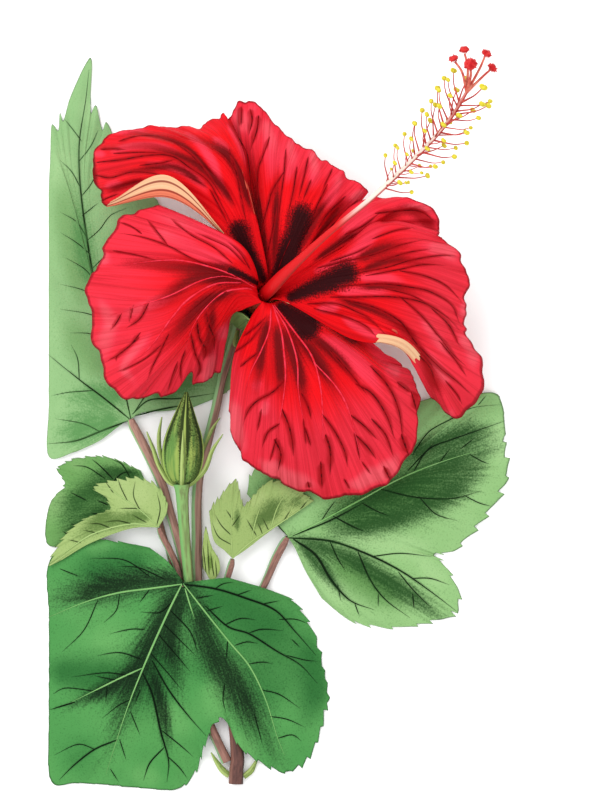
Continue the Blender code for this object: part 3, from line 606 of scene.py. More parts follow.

# The painted and pressed lines of each petal's face, seen from above: half width, then places. The fold washes are
# painted shade, the light washes painted highlights.
petalStrokes = {
    "petalLeft": {
        "ridge": [(0.55, (-14, 35), (-22.5, 39.5), (-34.5, 43), (-43.5, 43.5), (-58.5, 42)),
            (0.5, (-18.5, 37.5), (-24.5, 38.5), (-31, 37), (-40.5, 32.5), (-50, 29.5), (-60, 26.5)),
            (0.6, (-18.5, 36.5), (-26.5, 36), (-34.5, 31.5), (-40, 25.5), (-47, 16.5), (-56, 9.5)),
            (0.6, (-12, 32.5), (-15.5, 34.5), (-18.5, 34.5), (-23.5, 33.5), (-28.5, 29.5), (-33, 23.5), (-36, 16))],
        "line": [(0.32, (-22.5, 40), (-32.5, 43.5), (-41, 48), (-49.5, 51), (-57.5, 52.5)),
            (0.35, (-41, 48), (-44.5, 52.5), (-48, 56.5)), (0.3, (-49.5, 52), (-53, 54.5), (-57, 56)),
            (0.3, (-58.5, 47), (-51.5, 45.5), (-44.5, 43.5)),
            (0.3, (-21, 42.5), (-27, 47.5), (-33.5, 51), (-38, 54.5), (-40.5, 56.5)),
            (0.3, (-17, 42), (-22, 47), (-28, 50), (-32.5, 52)), (0.3, (-15.5, 40.5), (-18.5, 45.5), (-22.5, 49)),
            (0.55, (-29.5, 28), (-28.5, 23.5), (-27, 19.5), (-27, 16)),
            (0.6, (-32, 24.5), (-31.5, 19.5), (-29.5, 15.5), (-30.5, 12.5)),
            (0.5, (-34, 20.5), (-33, 15), (-31.5, 10), (-33.5, 6)), (0.35, (-36, 15.5), (-37.5, 11), (-37.5, 5)),
            (0.35, (-41, 20.5), (-43.5, 15.5), (-46, 11), (-48, 6.5)),
            (0.45, (-47, 30.5), (-50, 25.5), (-54.5, 22.5)), (0.45, (-56, 27), (-57.5, 24.5), (-59.5, 22)),
            (0.5, (-50, 21), (-53.5, 17), (-57.5, 14), (-58, 12)), (0.3, (-50.5, 19.5), (-56, 15), (-61.5, 12)),
            (0.3, (-43.5, 17), (-48.5, 13), (-53.5, 10.5), (-57.5, 9)), (0.3, (-38.5, 12), (-40.5, 7), (-42, 2.5)),
            (0.3, (-52, 29.5), (-53.5, 24.5))],
        "valley": [(2.4, (-15.6, 36.4), (-22.7, 40.5), (-37.4, 41.4), (-52, 43), (-59.2, 43)),
            (3, (-19, 36.7), (-32.4, 37.7), (-42, 31.8), (-48.9, 29)),
            (3.2, (-20.9, 33.6), (-30.5, 29.9), (-39.2, 20.2), (-48.9, 12.5)),
            (2.2, (-26.8, 28), (-28.6, 17.1), (-32.4, 12.5))],
        "glow": [(2.4, (-18.5, 45), (-26.5, 50.5), (-34.5, 53.5), (-43.5, 57), (-53, 55.5)),
            (2.2, (-31, 46), (-40.5, 50.5), (-50, 54.5)), (1.8, (-22, 42), (-29.5, 45), (-37.5, 48)),
            (3, (-62, 31), (-59.5, 23.5), (-62, 15.5), (-58.5, 8)), (1.8, (-40.5, 32), (-50, 28.5), (-58.5, 25)),
            (1.8, (-47, 20.5), (-54.5, 11), (-50, 3)), (2.6, (-27.5, 15.5), (-29.5, 8.5), (-34.5, 5)),
            (1.4, (-23.5, 23.5), (-25.5, 18)), (2, (-61, 47), (-62, 40.5))],
        "blotch": [(1.5, (-21.5, 40), (-16, 37.8), (-11, 35))],
    },
    "petalUpperLeft": {
        "line": [
            (0.45, (-64, 75), (-56, 75.5), (-47, 76.5), (-40, 76), (-34.5, 72.5), (-28.5, 68), (-24.5, 61),
             (-21, 54.5)), (0.4, (-64.5, 71), (-59.5, 70), (-53, 71.5), (-47, 71), (-42, 70)),
            (0.35, (-50, 73.5), (-43.5, 74), (-39, 75)),
            (0.5, (-23, 88.5), (-19.5, 82.5), (-16.5, 76.5), (-15.5, 68.5), (-14.5, 61), (-13.5, 55)),
            (0.35, (-62.5, 79), (-58.5, 79), (-54.5, 78.5)), (0.35, (-57, 81.5), (-50, 83), (-43.5, 82.5)),
            (0.35, (-28, 65.5), (-25, 60), (-22.5, 55)), (0.35, (-22, 78), (-19.5, 69), (-18, 61), (-16.5, 55)),
            (0.3, (-40, 81), (-33.5, 76), (-28, 69), (-23.5, 62)), (0.3, (-63, 63), (-60, 64), (-57, 65)),
            (0.3, (-58.5, 77.5), (-50, 77.5), (-42, 77))],
        "valley": [(2.2, (-15, 58.9), (-19, 70.8), (-26.8, 79.5), (-45.2, 85.1)),
            (1.8, (-20.9, 60.8), (-25.6, 67.6), (-34.3, 74.5), (-48.9, 79.5), (-62.6, 77.3)),
            (1.6, (-29.6, 66.7), (-39.3, 72.6), (-52, 71.7), (-63.6, 71.7)),
            (1.6, (-49.9, 68.6), (-57.7, 66.7), (-62.6, 64.8)),
            (1.5, (-65.5, 78.5), (-65.5, 71), (-63, 63), (-57, 62)),
            (1.7, (-15, 71.3), (-16.3, 77.3), (-19.8, 84.3), (-25, 88.6)),
            (1.2, (-26.7, 67.8), (-35.4, 79.1), (-50.1, 83.8), (-60, 82))],
        "glow": [(1.3, (-58.5, 78), (-53, 79.5), (-47, 79.5), (-40, 78), (-32.5, 73)),
            (1.3, (-35.5, 83.5), (-31, 79.5), (-27, 73.5), (-24.5, 66.5), (-21.5, 60)),
            (1, (-57.5, 84), (-51.5, 85), (-47, 84.5)), (1.1, (-27, 82), (-23.5, 78.5), (-21.5, 74.5)),
            (1.4, (-47, 74), (-37.5, 72), (-31, 67.5), (-28, 63)), (1, (-64.5, 77.5), (-60, 77.5)),
            (1.2, (-61, 67.5), (-54.5, 68.5)), (0.9, (-22.5, 86), (-18.5, 78.5), (-16.5, 71))],
        "blotch": [(3.4, (-19, 53), (-17.4, 48.6), (-15, 44), (-11.6, 38))],
    },
    "petalTop": {
        "line": [(0.4, (-18.5, 92), (-18.5, 88), (-18.5, 85.5)), (0.6, (-15.5, 91), (-15, 87.5), (-16, 83)),
            (0.6, (-13, 89), (-13.5, 84.5), (-15.5, 78)),
            (0.4, (-9.5, 82), (-11, 77.5), (-13, 72), (-13.5, 65.5), (-15, 58)),
            (0.45, (-5, 71), (-8.5, 65.5), (-10, 60.5), (-12, 53.5), (-13, 48.5)),
            (0.35, (-7.5, 60), (-8.5, 53.5), (-10, 46), (-10.5, 40)),
            (0.3, (-4.5, 78), (-5, 70.5), (-6, 62.5), (-7, 54.5)), (0.35, (-1, 72.5), (-2, 65.5), (-3.5, 58.5)),
            (0.35, (3.5, 68.5), (1, 62.5)), (0.4, (8.5, 67), (5.5, 61), (3.5, 55.5)),
            (0.35, (14, 63.5), (8.5, 58), (5, 52.5)), (0.4, (18, 62.5), (11, 55.5), (5.5, 50), (0, 43)),
            (0.35, (2.5, 75.5), (1, 68.5), (-0.5, 62.5)), (0.3, (10, 72), (7, 65.5)),
            (0.3, (-3, 50), (-6, 43), (-8.5, 36))],
        "valley": [(1.8, (-9.4, 37.5), (-11.9, 51.5), (-14.1, 65.6), (-15.6, 78)),
            (1.8, (-7.5, 39), (-7.8, 51.5), (-7.2, 64), (-6.2, 75)), (1.8, (0, 46.8), (5.6, 57.8), (10.9, 65.6)),
            (1.6, (3.1, 46.8), (10.9, 57.8), (17.2, 64))],
        "glow": [(3, (-20, 91), (-17, 86), (-15, 81)), (2.6, (-12, 88), (-9.5, 81), (-8.5, 73.5), (-11, 65.5)),
            (1.6, (-15.5, 92.5), (-13, 90)), (2, (-3, 81), (-3, 73.5), (-5, 65.5)),
            (1.8, (3.5, 78), (4.5, 71), (2.5, 64)), (1.8, (12.5, 70), (9.5, 63), (6, 57.5)),
            (1.4, (19.5, 65.5), (14, 61))],
        "blotch": [(4.5, (0.6, 56.8), (-0.8, 52.5), (-3.6, 46.5), (-7, 39)), (2.6, (-3.4, 47), (-7.6, 38))],
    },
    "petalRight": {
        "line": [(0.35, (5.5, 41), (14, 43), (22.5, 45), (31, 48), (39.5, 50)),
            (0.35, (18.5, 39.5), (26.5, 41), (35, 43.5), (43.5, 45), (48.5, 45)),
            (0.35, (20.5, 38.5), (31, 40.5), (38, 42), (45.5, 42)),
            (0.35, (31, 40), (39, 38.5), (46, 35.5), (51, 30)),
            (0.45, (14, 35.5), (25, 36), (34.5, 35), (41, 33.5), (47.5, 29.5), (50.5, 23)),
            (0.45, (9.5, 32), (18.5, 32), (28.5, 32), (37.5, 30.5), (44.5, 27), (50, 22)),
            (0.4, (2.5, 30), (11, 30), (17.5, 27.5), (22.5, 24.5), (27, 20)),
            (0.4, (4.5, 28.5), (14, 26), (20.5, 23), (24, 19.5)),
            (0.5, (14, 31), (22.5, 29), (31, 24.5), (36, 18), (43.5, 10.5), (50, 5.5), (54, 2)),
            (0.4, (31, 32), (37.5, 26.5), (42.5, 21), (47.5, 15), (52.5, 10.5)),
            (0.4, (41, 28.5), (47, 23), (50.5, 16)), (0.4, (36, 15), (40.5, 10.5), (42.5, 6)),
            (0.4, (43.5, 18.5), (48.5, 13), (52.5, 7.5)), (0.3, (22.5, 50), (29.5, 52.5), (36, 53.5)),
            (0.3, (9.5, 43), (17, 45.5), (22.5, 48.5)), (0.35, (25, 43), (32.5, 45.5), (40.5, 47)),
            (0.35, (14, 51.5), (19.5, 54), (24.5, 58)), (0.35, (46, 6), (50, 1.5), (51.5, -1.5)),
            (0.3, (26.5, 34.5), (34.5, 32.5), (40.5, 29.5)), (0.5, (23.5, 58), (31, 59), (37.5, 59), (42, 56))],
        "valley": [(2.2, (26.1, 55.6), (33.5, 59.3), (41, 54.7), (43.5, 50.9)),
            (1.8, (4.7, 43.5), (14, 50), (21.4, 54.7)), (2.4, (17.7, 43.5), (26.1, 47.2), (37.3, 49)),
            (2, (18.6, 39.7), (29.8, 43.5), (41, 41.6)), (1.6, (18.6, 35), (29.8, 35), (39.1, 32.3)),
            (1.8, (12.1, 31.4), (25.2, 26.7), (35.4, 19.3), (41, 9.9)),
            (2.2, (37.3, 15.5), (41.9, 6.2), (45.6, 0.6))],
        "glow": [(3.2, (14, 51), (19.5, 57), (26, 61)), (1.8, (5.5, 40), (14, 43), (19.5, 48), (25, 53), (32.5, 55)),
            (1.3, (32, 60.5), (39, 60), (42.5, 56.5)), (1.5, (12.5, 33.5), (22, 34), (30.5, 32.5)),
            (1.5, (6, 28.5), (14, 29.5)), (2.2, (38.5, 47.5), (45.5, 46), (50.5, 41)),
            (1.5, (18.5, 38), (26.5, 38), (35, 36)), (2.2, (50.5, 20.5), (53.5, 15), (56, 5.5)),
            (1.8, (37.5, 25.5), (43.5, 18), (50, 11)), (1.8, (39, 15.5), (45, 7.5), (48.5, 3)),
            (1.6, (14, 25.5), (22, 21), (29.5, 20)), (1.8, (45, -4.5), (50.5, -3)), (1.4, (50.5, 31), (51, 24.5))],
        "blotch": [(4.2, (14.4, 39.2), (9, 36.8), (4, 34.8), (-2.5, 32.2))],
    },
    "petalLower": {
        "ridge": [(0.55, (-9, 29.5), (-9.5, 22), (-12, 15.5), (-15, 9.5), (-17, 3.5)),
            (0.6, (-8.5, 29.5), (-6, 22), (-5, 15), (-4.5, 7), (-5.5, -1.5), (-7.5, -12)),
            (0.6, (-8.5, 29.5), (-4, 22), (-1, 12.5), (-0.5, 3), (1, -6)),
            (0.65, (-8, 29.5), (-1.5, 21), (3.5, 14), (6, 6), (7, -3), (7, -12.5)),
            (0.55, (5, 11), (11, 4.5), (14.5, -1.5), (17, -9.5), (19.5, -19.5))],
        "line": [(0.4, (-20.5, 15), (-15.5, 18.5), (-11, 24.5)), (0.4, (-18.5, 10.5), (-15.5, 13), (-12, 15.5)),
            (0.4, (-17.5, 20), (-13.5, 23), (-10.5, 26)), (0.5, (-5, 6), (-8.5, 2.5), (-13, 0), (-16, -3), (-18, -8)),
            (0.45, (-6.5, -7.5), (-10, -10), (-12, -15)), (0.7, (-5.5, -3), (-3.5, -8), (-2.5, -12.5), (-2, -17.5)),
            (0.8, (-8, -12.5), (-6, -17), (-7, -22.5)), (0.5, (0.5, 2), (2.5, -2), (3.5, -6)),
            (0.5, (1.5, -8.5), (3.5, -14.5)), (0.8, (8, -11), (9.5, -16), (9.5, -23.5)),
            (0.7, (6.5, -19.5), (7, -27.5)), (0.5, (7, -4.5), (11, -10), (14, -16), (15, -21)),
            (0.5, (15.5, -4.5), (20, -8), (24.5, -12.5)), (0.6, (17.5, -11), (21, -14.5), (24, -18.5)),
            (0.5, (22.5, -6), (27, -11), (29.5, -18)), (0.6, (17.5, 5), (22.5, 2), (27, -4.5), (30, -12.5)),
            (0.6, (22, 10.5), (27.5, 4.5), (31, -3), (32.5, -12.5)), (0.8, (35, 2.5), (37, -3.5)),
            (0.8, (32, -11), (34.5, -17.5)), (0.8, (26.5, -21), (28.5, -25)), (0.7, (2.5, -26), (3, -28)),
            (0.3, (19.5, -19.5), (22.5, -23.5)), (0.3, (-7.5, -12), (-9.5, -19.5)), (0.3, (1, -6), (2, -14.5)),
            (0.3, (17, -9.5), (19, -19.5)), (0.4, (9.5, 15.5), (16, 8), (21, 1.5)), (0.7, (30.5, 5.5), (34.5, 2.5)),
            (0.35, (-12, -3), (-13.5, -10)), (0.35, (14, -25), (16, -28.5))],
        "valley": [(2.2, (-10, 25.6), (-11.9, 17.2), (-13.1, 7.8), (-14.4, 0)),
            (2.4, (-7.2, 23.5), (-6.6, 14.1), (-5.9, 4.7), (-5.3, -3.1)),
            (2.8, (-4.7, 21.9), (-1.3, 12.5), (0.9, 3.1), (2.2, -6.3)),
            (2.8, (-2.2, 21.9), (3.8, 15), (9.4, 6.3), (13.1, -3.1)),
            (2, (1.6, 21.9), (9.4, 15.6), (15.6, 8.8), (20.3, 1.6)), (3.2, (9.4, 25.6), (16.3, 20.3), (22.5, 15))],
        "glow": [(2.6, (7, 19.5), (15.5, 13.5), (22.5, 6), (27.5, -3)), (3, (-20.5, 0), (-20, -9.5), (-15.5, -18)),
            (3, (-12, -19.5), (-3, -24.5), (9.5, -27.5)), (3, (15.5, -27), (26.5, -22), (33, -15.5)),
            (2, (26.5, 10), (32.5, 7)), (1.8, (-12, 6), (-15.5, 2.5)), (1.6, (-10, 0), (-12, -6))],
        "blotch": [(4.6, (1, 23.6), (-2.2, 26.2), (-5.8, 28.8)), (3.4, (2.2, 22.6), (0.2, 24.4))],
    },
}

# How each petal is made: waves, ruffling and scallops of its rim with their seed, how far its rim pales, which also
# weights its painted highlight at the rim, notches as (place, depth, width), and which part of it is folded over: up
# to flap, or from tail on.
petalExtras = {
    "petalLeft": {"seed": 11, "waves": 8, "ruffle": 0.9, "scallop": 0.8, "blushAndHighlight": 0.85,
                  "notches": ((0.728, 3.6, 0.018), (0.828, 11.0, 0.024), (0.42, 1.4, 0.03))},
    "petalUpperLeft": {"seed": 5, "waves": 7, "ruffle": 0.8, "scallop": 0.7, "flap": 0.17, "blushAndHighlight": 0.45,
                       "notches": ((0.60, 1.2, 0.02), (0.76, 1.5, 0.025))},
    "petalTop": {"seed": 23, "waves": 6, "ruffle": 0.8, "scallop": 0.7, "blushAndHighlight": 0.85,
                 "notches": ((0.46, 1.2, 0.03),)},
    "petalRight": {"seed": 31, "waves": 9, "ruffle": 0.9, "scallop": 0.8, "tail": 0.92, "blushAndHighlight": 0.85,
                   "notches": ((0.5, 1.2, 0.015), (0.62, 1.4, 0.015))},
    "petalLower": {"seed": 47, "waves": 8, "ruffle": 0.8, "scallop": 0.7, "blushAndHighlight": 1.1, "notches": ()},
}
petalMake = {
    "across": 250, "along": 130, "thickness": 0.4, "clawDepth": 13.0,
    "throat": (-9.5, 34.5, 34.0), "base": (-19.0, 26.0, 8.0),
    "pressed": {"valley": -0.9, "ridge": 0.3, "glow": 0.5},  # how far the painted folds sink or rise
    "washes": {"valley": 0.95, "glow": 1.2, "blotch": 1.15},  # how widely each wash spreads
    "drawn": {"line": 1.9, "ridge": 1.8},  # how much wider than its vein each line's own shade is
    "pleats": 0.16, "backVeins": 16, "flapVeins": (0.18, 0.42, 0.66),
    "lineShare": 0.36, "ridgeShare": 0.5,  # how much of a drawn line's width its raised vein takes
    "shine": 0.08, "relief": 0.0003,
}
bloomAxis = np.array(petalMake["throat"]) - np.array(petalMake["base"])
bloomAxis /= np.linalg.norm(bloomAxis)


def clawPoint(angle, radius, depth):
    out = np.array([math.cos(math.radians(angle)), math.sin(math.radians(angle)), 0.0])
    out -= bloomAxis * (out @ bloomAxis)
    return np.array(petalMake["throat"]) + out / np.linalg.norm(out) * radius - bloomAxis * depth


def petalGrid(shape):
    (first, inA, outA), (last, inB, outB) = shape["claw"]
    columns = []
    for f, vein in zip(np.linspace(0, 1, len(shape["veins"])), shape["veins"]):
        angle = first + (last - first) * f
        deep = clawPoint(angle, inA + (inB - inA) * f, petalMake["clawDepth"])
        mouth = clawPoint(angle, outA + (outB - outA) * f, 0.0)
        columns.append([deep, mouth] + [np.array(p) for p in vein])
    return gridOf(columns, petalMake["across"], petalMake["along"])


def turnedOver(u, extra):
    # how much of the petal shows its face, and the paint of its back: the fold, its veins and what stays hidden
    veins = np.clip(np.cos(2 * np.pi * u * petalMake["backVeins"]) * 12 - 11, 0, 1)
    if "flap" in extra:
        flap = extra["flap"]
        fold = eased(1 - np.abs(u - flap * 0.72) / flap, 0.55, 0.8)
        veins = sum(bump(u - flap * share, 0.006) for share in petalMake["flapVeins"])
        return eased(u, flap * 0.6, flap), {"fold": fold, "backLine": veins, "hidden": eased(u - flap, 0.0, 0.05)}
    if "tail" in extra:
        tail = extra["tail"]
        hidden = eased(tail - u, 0.0, 0.05)
        return 1.0 - eased(u, tail, tail + 0.05), {"fold": 0 * u, "backLine": veins, "hidden": hidden}
    return 1.0 + 0 * u, {"fold": 0 * u, "backLine": veins, "hidden": 1.0 + 0 * u}


def makePetal(name, finishes):
    extra, strokes = petalExtras[name], petalStrokes[name]
    points, u, v = petalGrid(petalShapes[name])
    # scalloped rim: the last stretch of each vein runs a little long or short
    outward = unit(np.gradient(points, axis=1))
    scallops = waves(u, extra["waves"], extra["seed"]) * extra["scallop"] * eased(v, 0.78, 1.0)
    points = points + outward * scallops[..., None]
    for place, deep, width in extra["notches"]:
        points = points - outward * (deep * bump(u - place, width) * eased(v, 0.7, 1.0))[..., None]
    # the painted lines also press the sheet in or raise it
    maps = {key: stroked(points, widened(strokes.get(key, []), times)) for key, times in petalMake["drawn"].items()}
    for key, spread in petalMake["washes"].items():
        maps[key] = washed(points, strokes.get(key, []), spread, key == "blotch")
    onFace, backMaps = turnedOver(u, extra)
    height = sum(maps[key] * depth for key, depth in petalMake["pressed"].items()) * onFace
    ruffled = waves(u, extra["waves"] * 1.4, extra["seed"] + 1) * extra["ruffle"] * eased(v, 0.6, 1.0) ** 1.5
    pleats = petalMake["pleats"] * waves(u, extra["waves"] * 3.2, extra["seed"] + 2) * eased(v, 0.3, 0.6)
    points = points + upward(points)[0] * (height + ruffled * onFace + pleats)[..., None]
    maps.update(rim=eased(v, 0.5, 0.96) * extra["blushAndHighlight"], border=eased(v, 0.982, 0.997), **backMaps)
    face, back, veins, ribs = finishes
    shell(name, points, petalMake["thickness"], maps, (u, v), [face, back], "petal", [cadName(name)])
    lifted = points + upward(points)[0] * petalMake["thickness"] / 2
    allowed = (onFace > 0.5) & (v < 0.995)
    threads(name + "Veins", lifted, allowed, strokes["line"], petalMake["lineShare"], veins, "petal")
    threads(name + "Ribs", lifted, allowed, strokes.get("ridge", []), petalMake["ridgeShare"], ribs, "petal")


# Leaves.

# Each leaf: the point where its stalk meets it, then its veins from one side of the base round to the
# other, each as near, middle and rim points.
leafShapes = {
    "leafTall": {"junction": (-54, -6, 3.2), "veins": [
        [(-58, -8.5, 2.6), (-64, -13, 2.2), (-71.5, -16.5, 1.8)],
        [(-60.5, -8, 2.8), (-69.5, -12, 2.2), (-80.3, -18, 1.6)],
        [(-62, -4, 2.8), (-70.5, -2, 2.2), (-80.3, -1.5, 1)],
        [(-60, -1.5, 2.8), (-68.5, 5, 2.2), (-80.3, 16, 0.8)],
        [(-59.5, 4.5, 2.8), (-69.5, 18.5, 2.2), (-80.3, 33.5, 0.8)],
        [(-60, 9, 2.8), (-71.5, 36.5, 2.2), (-80.3, 50.5, 0.8)],
        [(-60.5, 13.5, 2.8), (-72.5, 52, 2), (-80.3, 67, 0.8)],
        [(-60.5, 16, 2.8), (-73, 64, 1.8), (-79.8, 79, 0.8)],
        [(-60.5, 16, 2.8), (-73.5, 64, 1.4), (-79.4, 88, 0.8)],
        [(-60.5, 16.5, 2.8), (-73, 65, 1.4), (-77.3, 86.2, 0.8)],
        [(-60.5, 16.5, 2.8), (-72.5, 66, 1.4), (-76.8, 91.9, 0.8)],
        [(-60.5, 16.5, 2.8), (-72, 66.5, 1.4), (-75.6, 89.4, 0.8)],
        [(-60.5, 16.5, 2.8), (-71.5, 67, 1.4), (-73.2, 97.5, 0.8)],
        [(-60.5, 16.5, 2.8), (-70.5, 67.5, 1.4), (-67, 109.5, 0.8)],
        [(-60.5, 16.5, 2.8), (-69, 67, 1.4), (-67, 97, 0.8)],
        [(-60.5, 16.5, 2.8), (-68.5, 66.5, 1.4), (-66.8, 91.8, 0.8)],
        [(-60.5, 16.5, 2.8), (-68, 66, 1.4), (-65.2, 94.2, 0.8)],
        [(-59.5, 16.5, 2.8), (-67.2, 65.2, 1.4), (-63.2, 86.4, 0.8)],
        [(-59.5, 16.5, 2.8), (-66.6, 64.6, 1.4), (-61.6, 88.6, 0.8)],
        [(-58, 16, 2.8), (-62, 60, 1.8), (-56.5, 77.5, 0.8)],
        [(-56, 15.5, 2.8), (-56, 51, 1.8), (-45.5, 63.5, 0.8)],
        [(-54.5, 14, 2.8), (-49.5, 41, 1.6), (-30.5, 49.5, 0.8)],
        [(-51.5, 11.5, 2.8), (-41, 30, 1.4), (-20.5, 36, 0.8)],
        [(-50, 7.5, 2.8), (-36, 20, 1.2), (-17, 22, 0.6)],
        [(-48.5, 4, 2.8), (-34.5, 11, 1), (-17.5, 9, 0.6)],
        [(-48, 0, 2.8), (-36.5, 2.5, 1), (-23.5, 2.5, 0.6)],
        [(-50, -4, 2.6), (-43, -3.5, 1.6), (-34.5, -2.5, 0.8)]]},
    "leafRight": {"junction": (-4, -43.5, 3.6), "veins": [
        [(-6.5, -41, 3.4), (-12, -35.5, 3.2), (-17, -30, 2.2)],
        [(-6.5, -39.5, 3.6), (-10, -31.5, 3.2), (-14.5, -21.5, 2.2)],
        [(-4.5, -37.5, 3.6), (-3, -26, 3.2), (-3, -16, 2)],
        [(-1, -36.5, 3.6), (5.5, -22.5, 3.2), (12, -9, 2)],
        [(2, -37, 3.6), (16.5, -20, 3), (26, -1.5, 2)],
        [(4, -37.5, 3.6), (23.5, -20, 3), (40.5, 0.5, 1.6)],
        [(5, -38.5, 3.6), (28.5, -20.5, 3), (55, 2, 1.2)],
        [(5.5, -38.5, 3.6), (32.5, -21.5, 3), (63.8, 1, 0.8)],
        [(6.5, -39, 3.6), (35, -23.5, 2.8), (65.8, -13, 0.8)],
        [(6, -39.5, 3.6), (33, -26, 2.8), (66.2, -26, 0.8)],
        [(5, -41, 3.6), (30, -30.5, 2.6), (59.5, -37.5, 0.8)],
        [(4, -42, 3.6), (25, -37, 2.4), (50, -48, 0.8)],
        [(4.5, -43.5, 3.6), (21.5, -43, 2.2), (43, -49.5, 0.8)],
        [(6.5, -44.5, 3.6), (24.5, -48, 2.2), (46, -52, 0.8)],
        [(7.5, -45.5, 3.6), (27.5, -52, 2.2), (51, -61, 0.8)],
        [(7, -46, 3.6), (28, -53.5, 2.2), (50, -68, 0.8)],
        [(5.5, -48, 3.6), (21.5, -60, 2.2), (41, -71.5, 0.8)],
        [(2.5, -49, 3.6), (14.5, -63.5, 2.2), (27.5, -73, 0.8)],
        [(0, -48.5, 3.6), (8, -61.5, 2.2), (16, -70.5, 0.8)],
        [(-1.5, -47.5, 3.4), (2, -55, 2.2), (7, -63.5, 0.8)]]},
    "leafBig": {"junction": (-37, -58, 10), "veins": [
        [(-39, -55, 9.4), (-42.5, -51, 7.6), (-48, -47, 5.6)],
        [(-41.5, -55.5, 9.4), (-50.5, -51, 6.6), (-59, -45, 4)],
        [(-44, -57, 9.4), (-57.5, -54, 5.4), (-70.5, -44.5, 2.4)],
        [(-45, -58.5, 9.4), (-60, -58, 5), (-80.3, -52, 1.2)],
        [(-46, -60, 9.4), (-61, -64, 5), (-80.3, -69.5, 0.8)],
        [(-45, -63, 9.4), (-60, -72.5, 5), (-80.3, -85, 0.8)],
        [(-44.5, -65.5, 9.4), (-59.5, -81.5, 5), (-80.3, -101, 0.8)],
        [(-44, -68.5, 9.4), (-57.5, -92.5, 5), (-79.8, -121.5, 0.8)],
        [(-44, -70.5, 9.4), (-56, -99.5, 5), (-71.5, -122.5, 0.8)],
        [(-43.5, -72, 9.4), (-52, -99.5, 5), (-62.5, -123, 0.8)],
        [(-42, -72.5, 9.4), (-48, -99, 5), (-52, -124, 0.8)],
        [(-40, -73, 9.4), (-42.5, -98, 5.4), (-39.5, -124.5, 0.8)],
        [(-38, -73, 9.4), (-38, -96, 6), (-33.5, -119.5, 1.2)],
        [(-36, -73, 9.4), (-34, -93, 6.8), (-30.5, -111, 4.4)],
        [(-34.5, -73, 9.4), (-31, -90.5, 7.2), (-27, -103, 6)],
        [(-32.5, -72, 9.4), (-28, -90, 7.2), (-23.5, -102.5, 6)],
        [(-31, -71, 9.4), (-23.5, -91, 6.8), (-19, -111, 5.8)],
        [(-29, -70.5, 9.4), (-19, -91, 5.6), (-10, -117.5, 1.4)],
        [(-27, -69.5, 9.4), (-14.5, -90.5, 5), (-2.5, -119, 0.8)],
        [(-25.5, -68, 9.4), (-10, -86.5, 5), (4, -113, 0.8)],
        [(-24.5, -66, 9.4), (-7, -81.5, 5), (9, -97, 0.8)],
        [(-24, -64, 9.4), (-6.5, -74.5, 5), (7.5, -85, 0.8)],
        [(-25, -61.5, 9.4), (-11, -66.5, 5.8), (5, -75.5, 1.2)],
        [(-26.5, -60, 9.4), (-14, -61.5, 6.6), (-1, -65, 2.4)],
        [(-29, -58.5, 9.4), (-19.5, -59, 7.4), (-10, -60.5, 4)],
        [(-32.5, -57.5, 9.6), (-28.5, -57, 8.6), (-23, -56.5, 7)]]},
    "leafFolded": {"junction": (-45, -40.5, 7.2), "veins": [
        [(-43.5, -38, 7.2), (-42.5, -36, 7.6), (-42, -33, 7.6)],
        [(-45, -35.5, 7.2), (-44.5, -32, 7.6), (-45, -27.5, 7.6)],
        [(-48, -35, 7), (-50, -30.5, 7), (-53, -24.5, 6.6)],
        [(-50.5, -35.5, 6.8), (-57.5, -30.5, 6), (-66, -27.5, 4.6)],
        [(-52, -36.5, 6.6), (-58, -33.5, 5.6), (-62, -31, 4.6)],
        [(-53, -37.5, 6.6), (-58, -35.5, 5.6), (-61.5, -35, 4.6)],
        [(-54, -38, 6.6), (-61, -37.5, 5.2), (-70, -38.5, 4.2)],
        [(-55, -39, 6.6), (-64.5, -40.5, 5), (-76.5, -45, 3.6)],
        [(-54, -39.5, 6.6), (-66.5, -43.5, 4.8), (-80, -52.5, 3.2)],
        [(-54, -41, 6.4), (-66.5, -45.5, 4.6), (-76, -51, 3.4)]]},
    "leafShaded": {"junction": (-46.5, -34, 1.4), "veins": [
        [(-47.5, -30, 1.2), (-49, -27, 1), (-51, -22.5, 0.8)],
        [(-50, -29.5, 1.2), (-55, -24, 0.9), (-60, -18.5, 0.6)],
        [(-51.5, -30, 1.2), (-60, -24.5, 0.9), (-69, -18, 0.6)],
        [(-53, -31.5, 1.2), (-64, -26.5, 0.9), (-77.5, -21.5, 0.6)],
        [(-54, -32.5, 1.2), (-65.5, -29.5, 0.9), (-75.5, -27, 0.6)],
        [(-54.5, -33.5, 1.2), (-67, -33.5, 0.9), (-80.3, -34, 0.6)],
        [(-53.5, -35.5, 1.2), (-65.5, -41, 0.9), (-80.3, -46.5, 0.6)],
        [(-51, -37, 1.2), (-58, -41.5, 0.9), (-66.5, -44, 0.6)]]},
    "leafYoung": {"junction": (-21.5, -50.5, 6), "veins": [
        [(-24, -48, 6.2), (-27.5, -44.5, 6.8), (-29, -35.5, 7)],
        [(-23.5, -45, 6.2), (-25, -37, 6.8), (-26, -31, 7)],
        [(-22, -43.5, 6.2), (-21.5, -35, 6.8), (-20.5, -25.5, 6.6)],
        [(-20.5, -43.5, 6.2), (-19, -37, 6.6), (-18, -33, 6.4)],
        [(-19, -44.5, 6.2), (-16.5, -37.5, 6.6), (-14.5, -30, 6.2)],
        [(-18, -45, 6.2), (-12.5, -36.5, 6.4), (-9, -25.5, 5.8)],
        [(-17, -46, 6.2), (-9.5, -37.5, 6), (0, -28.5, 5.2)],
        [(-17, -47.5, 6), (-8.5, -41, 5.8), (4.5, -32, 5)]]},
    "leafUnfurling": {"junction": (-28, -58.5, 4.2), "veins": [
        [(-29.5, -56, 4.4), (-31, -52.5, 5.2), (-31, -46.5, 6.2)],
        [(-28.5, -54, 4.4), (-30, -48, 5.6), (-30, -40.5, 6.4)],
        [(-27.5, -54.5, 4.4), (-27.5, -50.5, 5), (-28.5, -46, 5.6)],
        [(-26, -55.5, 4.2), (-25.5, -53.5, 4.2), (-26, -50.5, 4.4)]]},
}
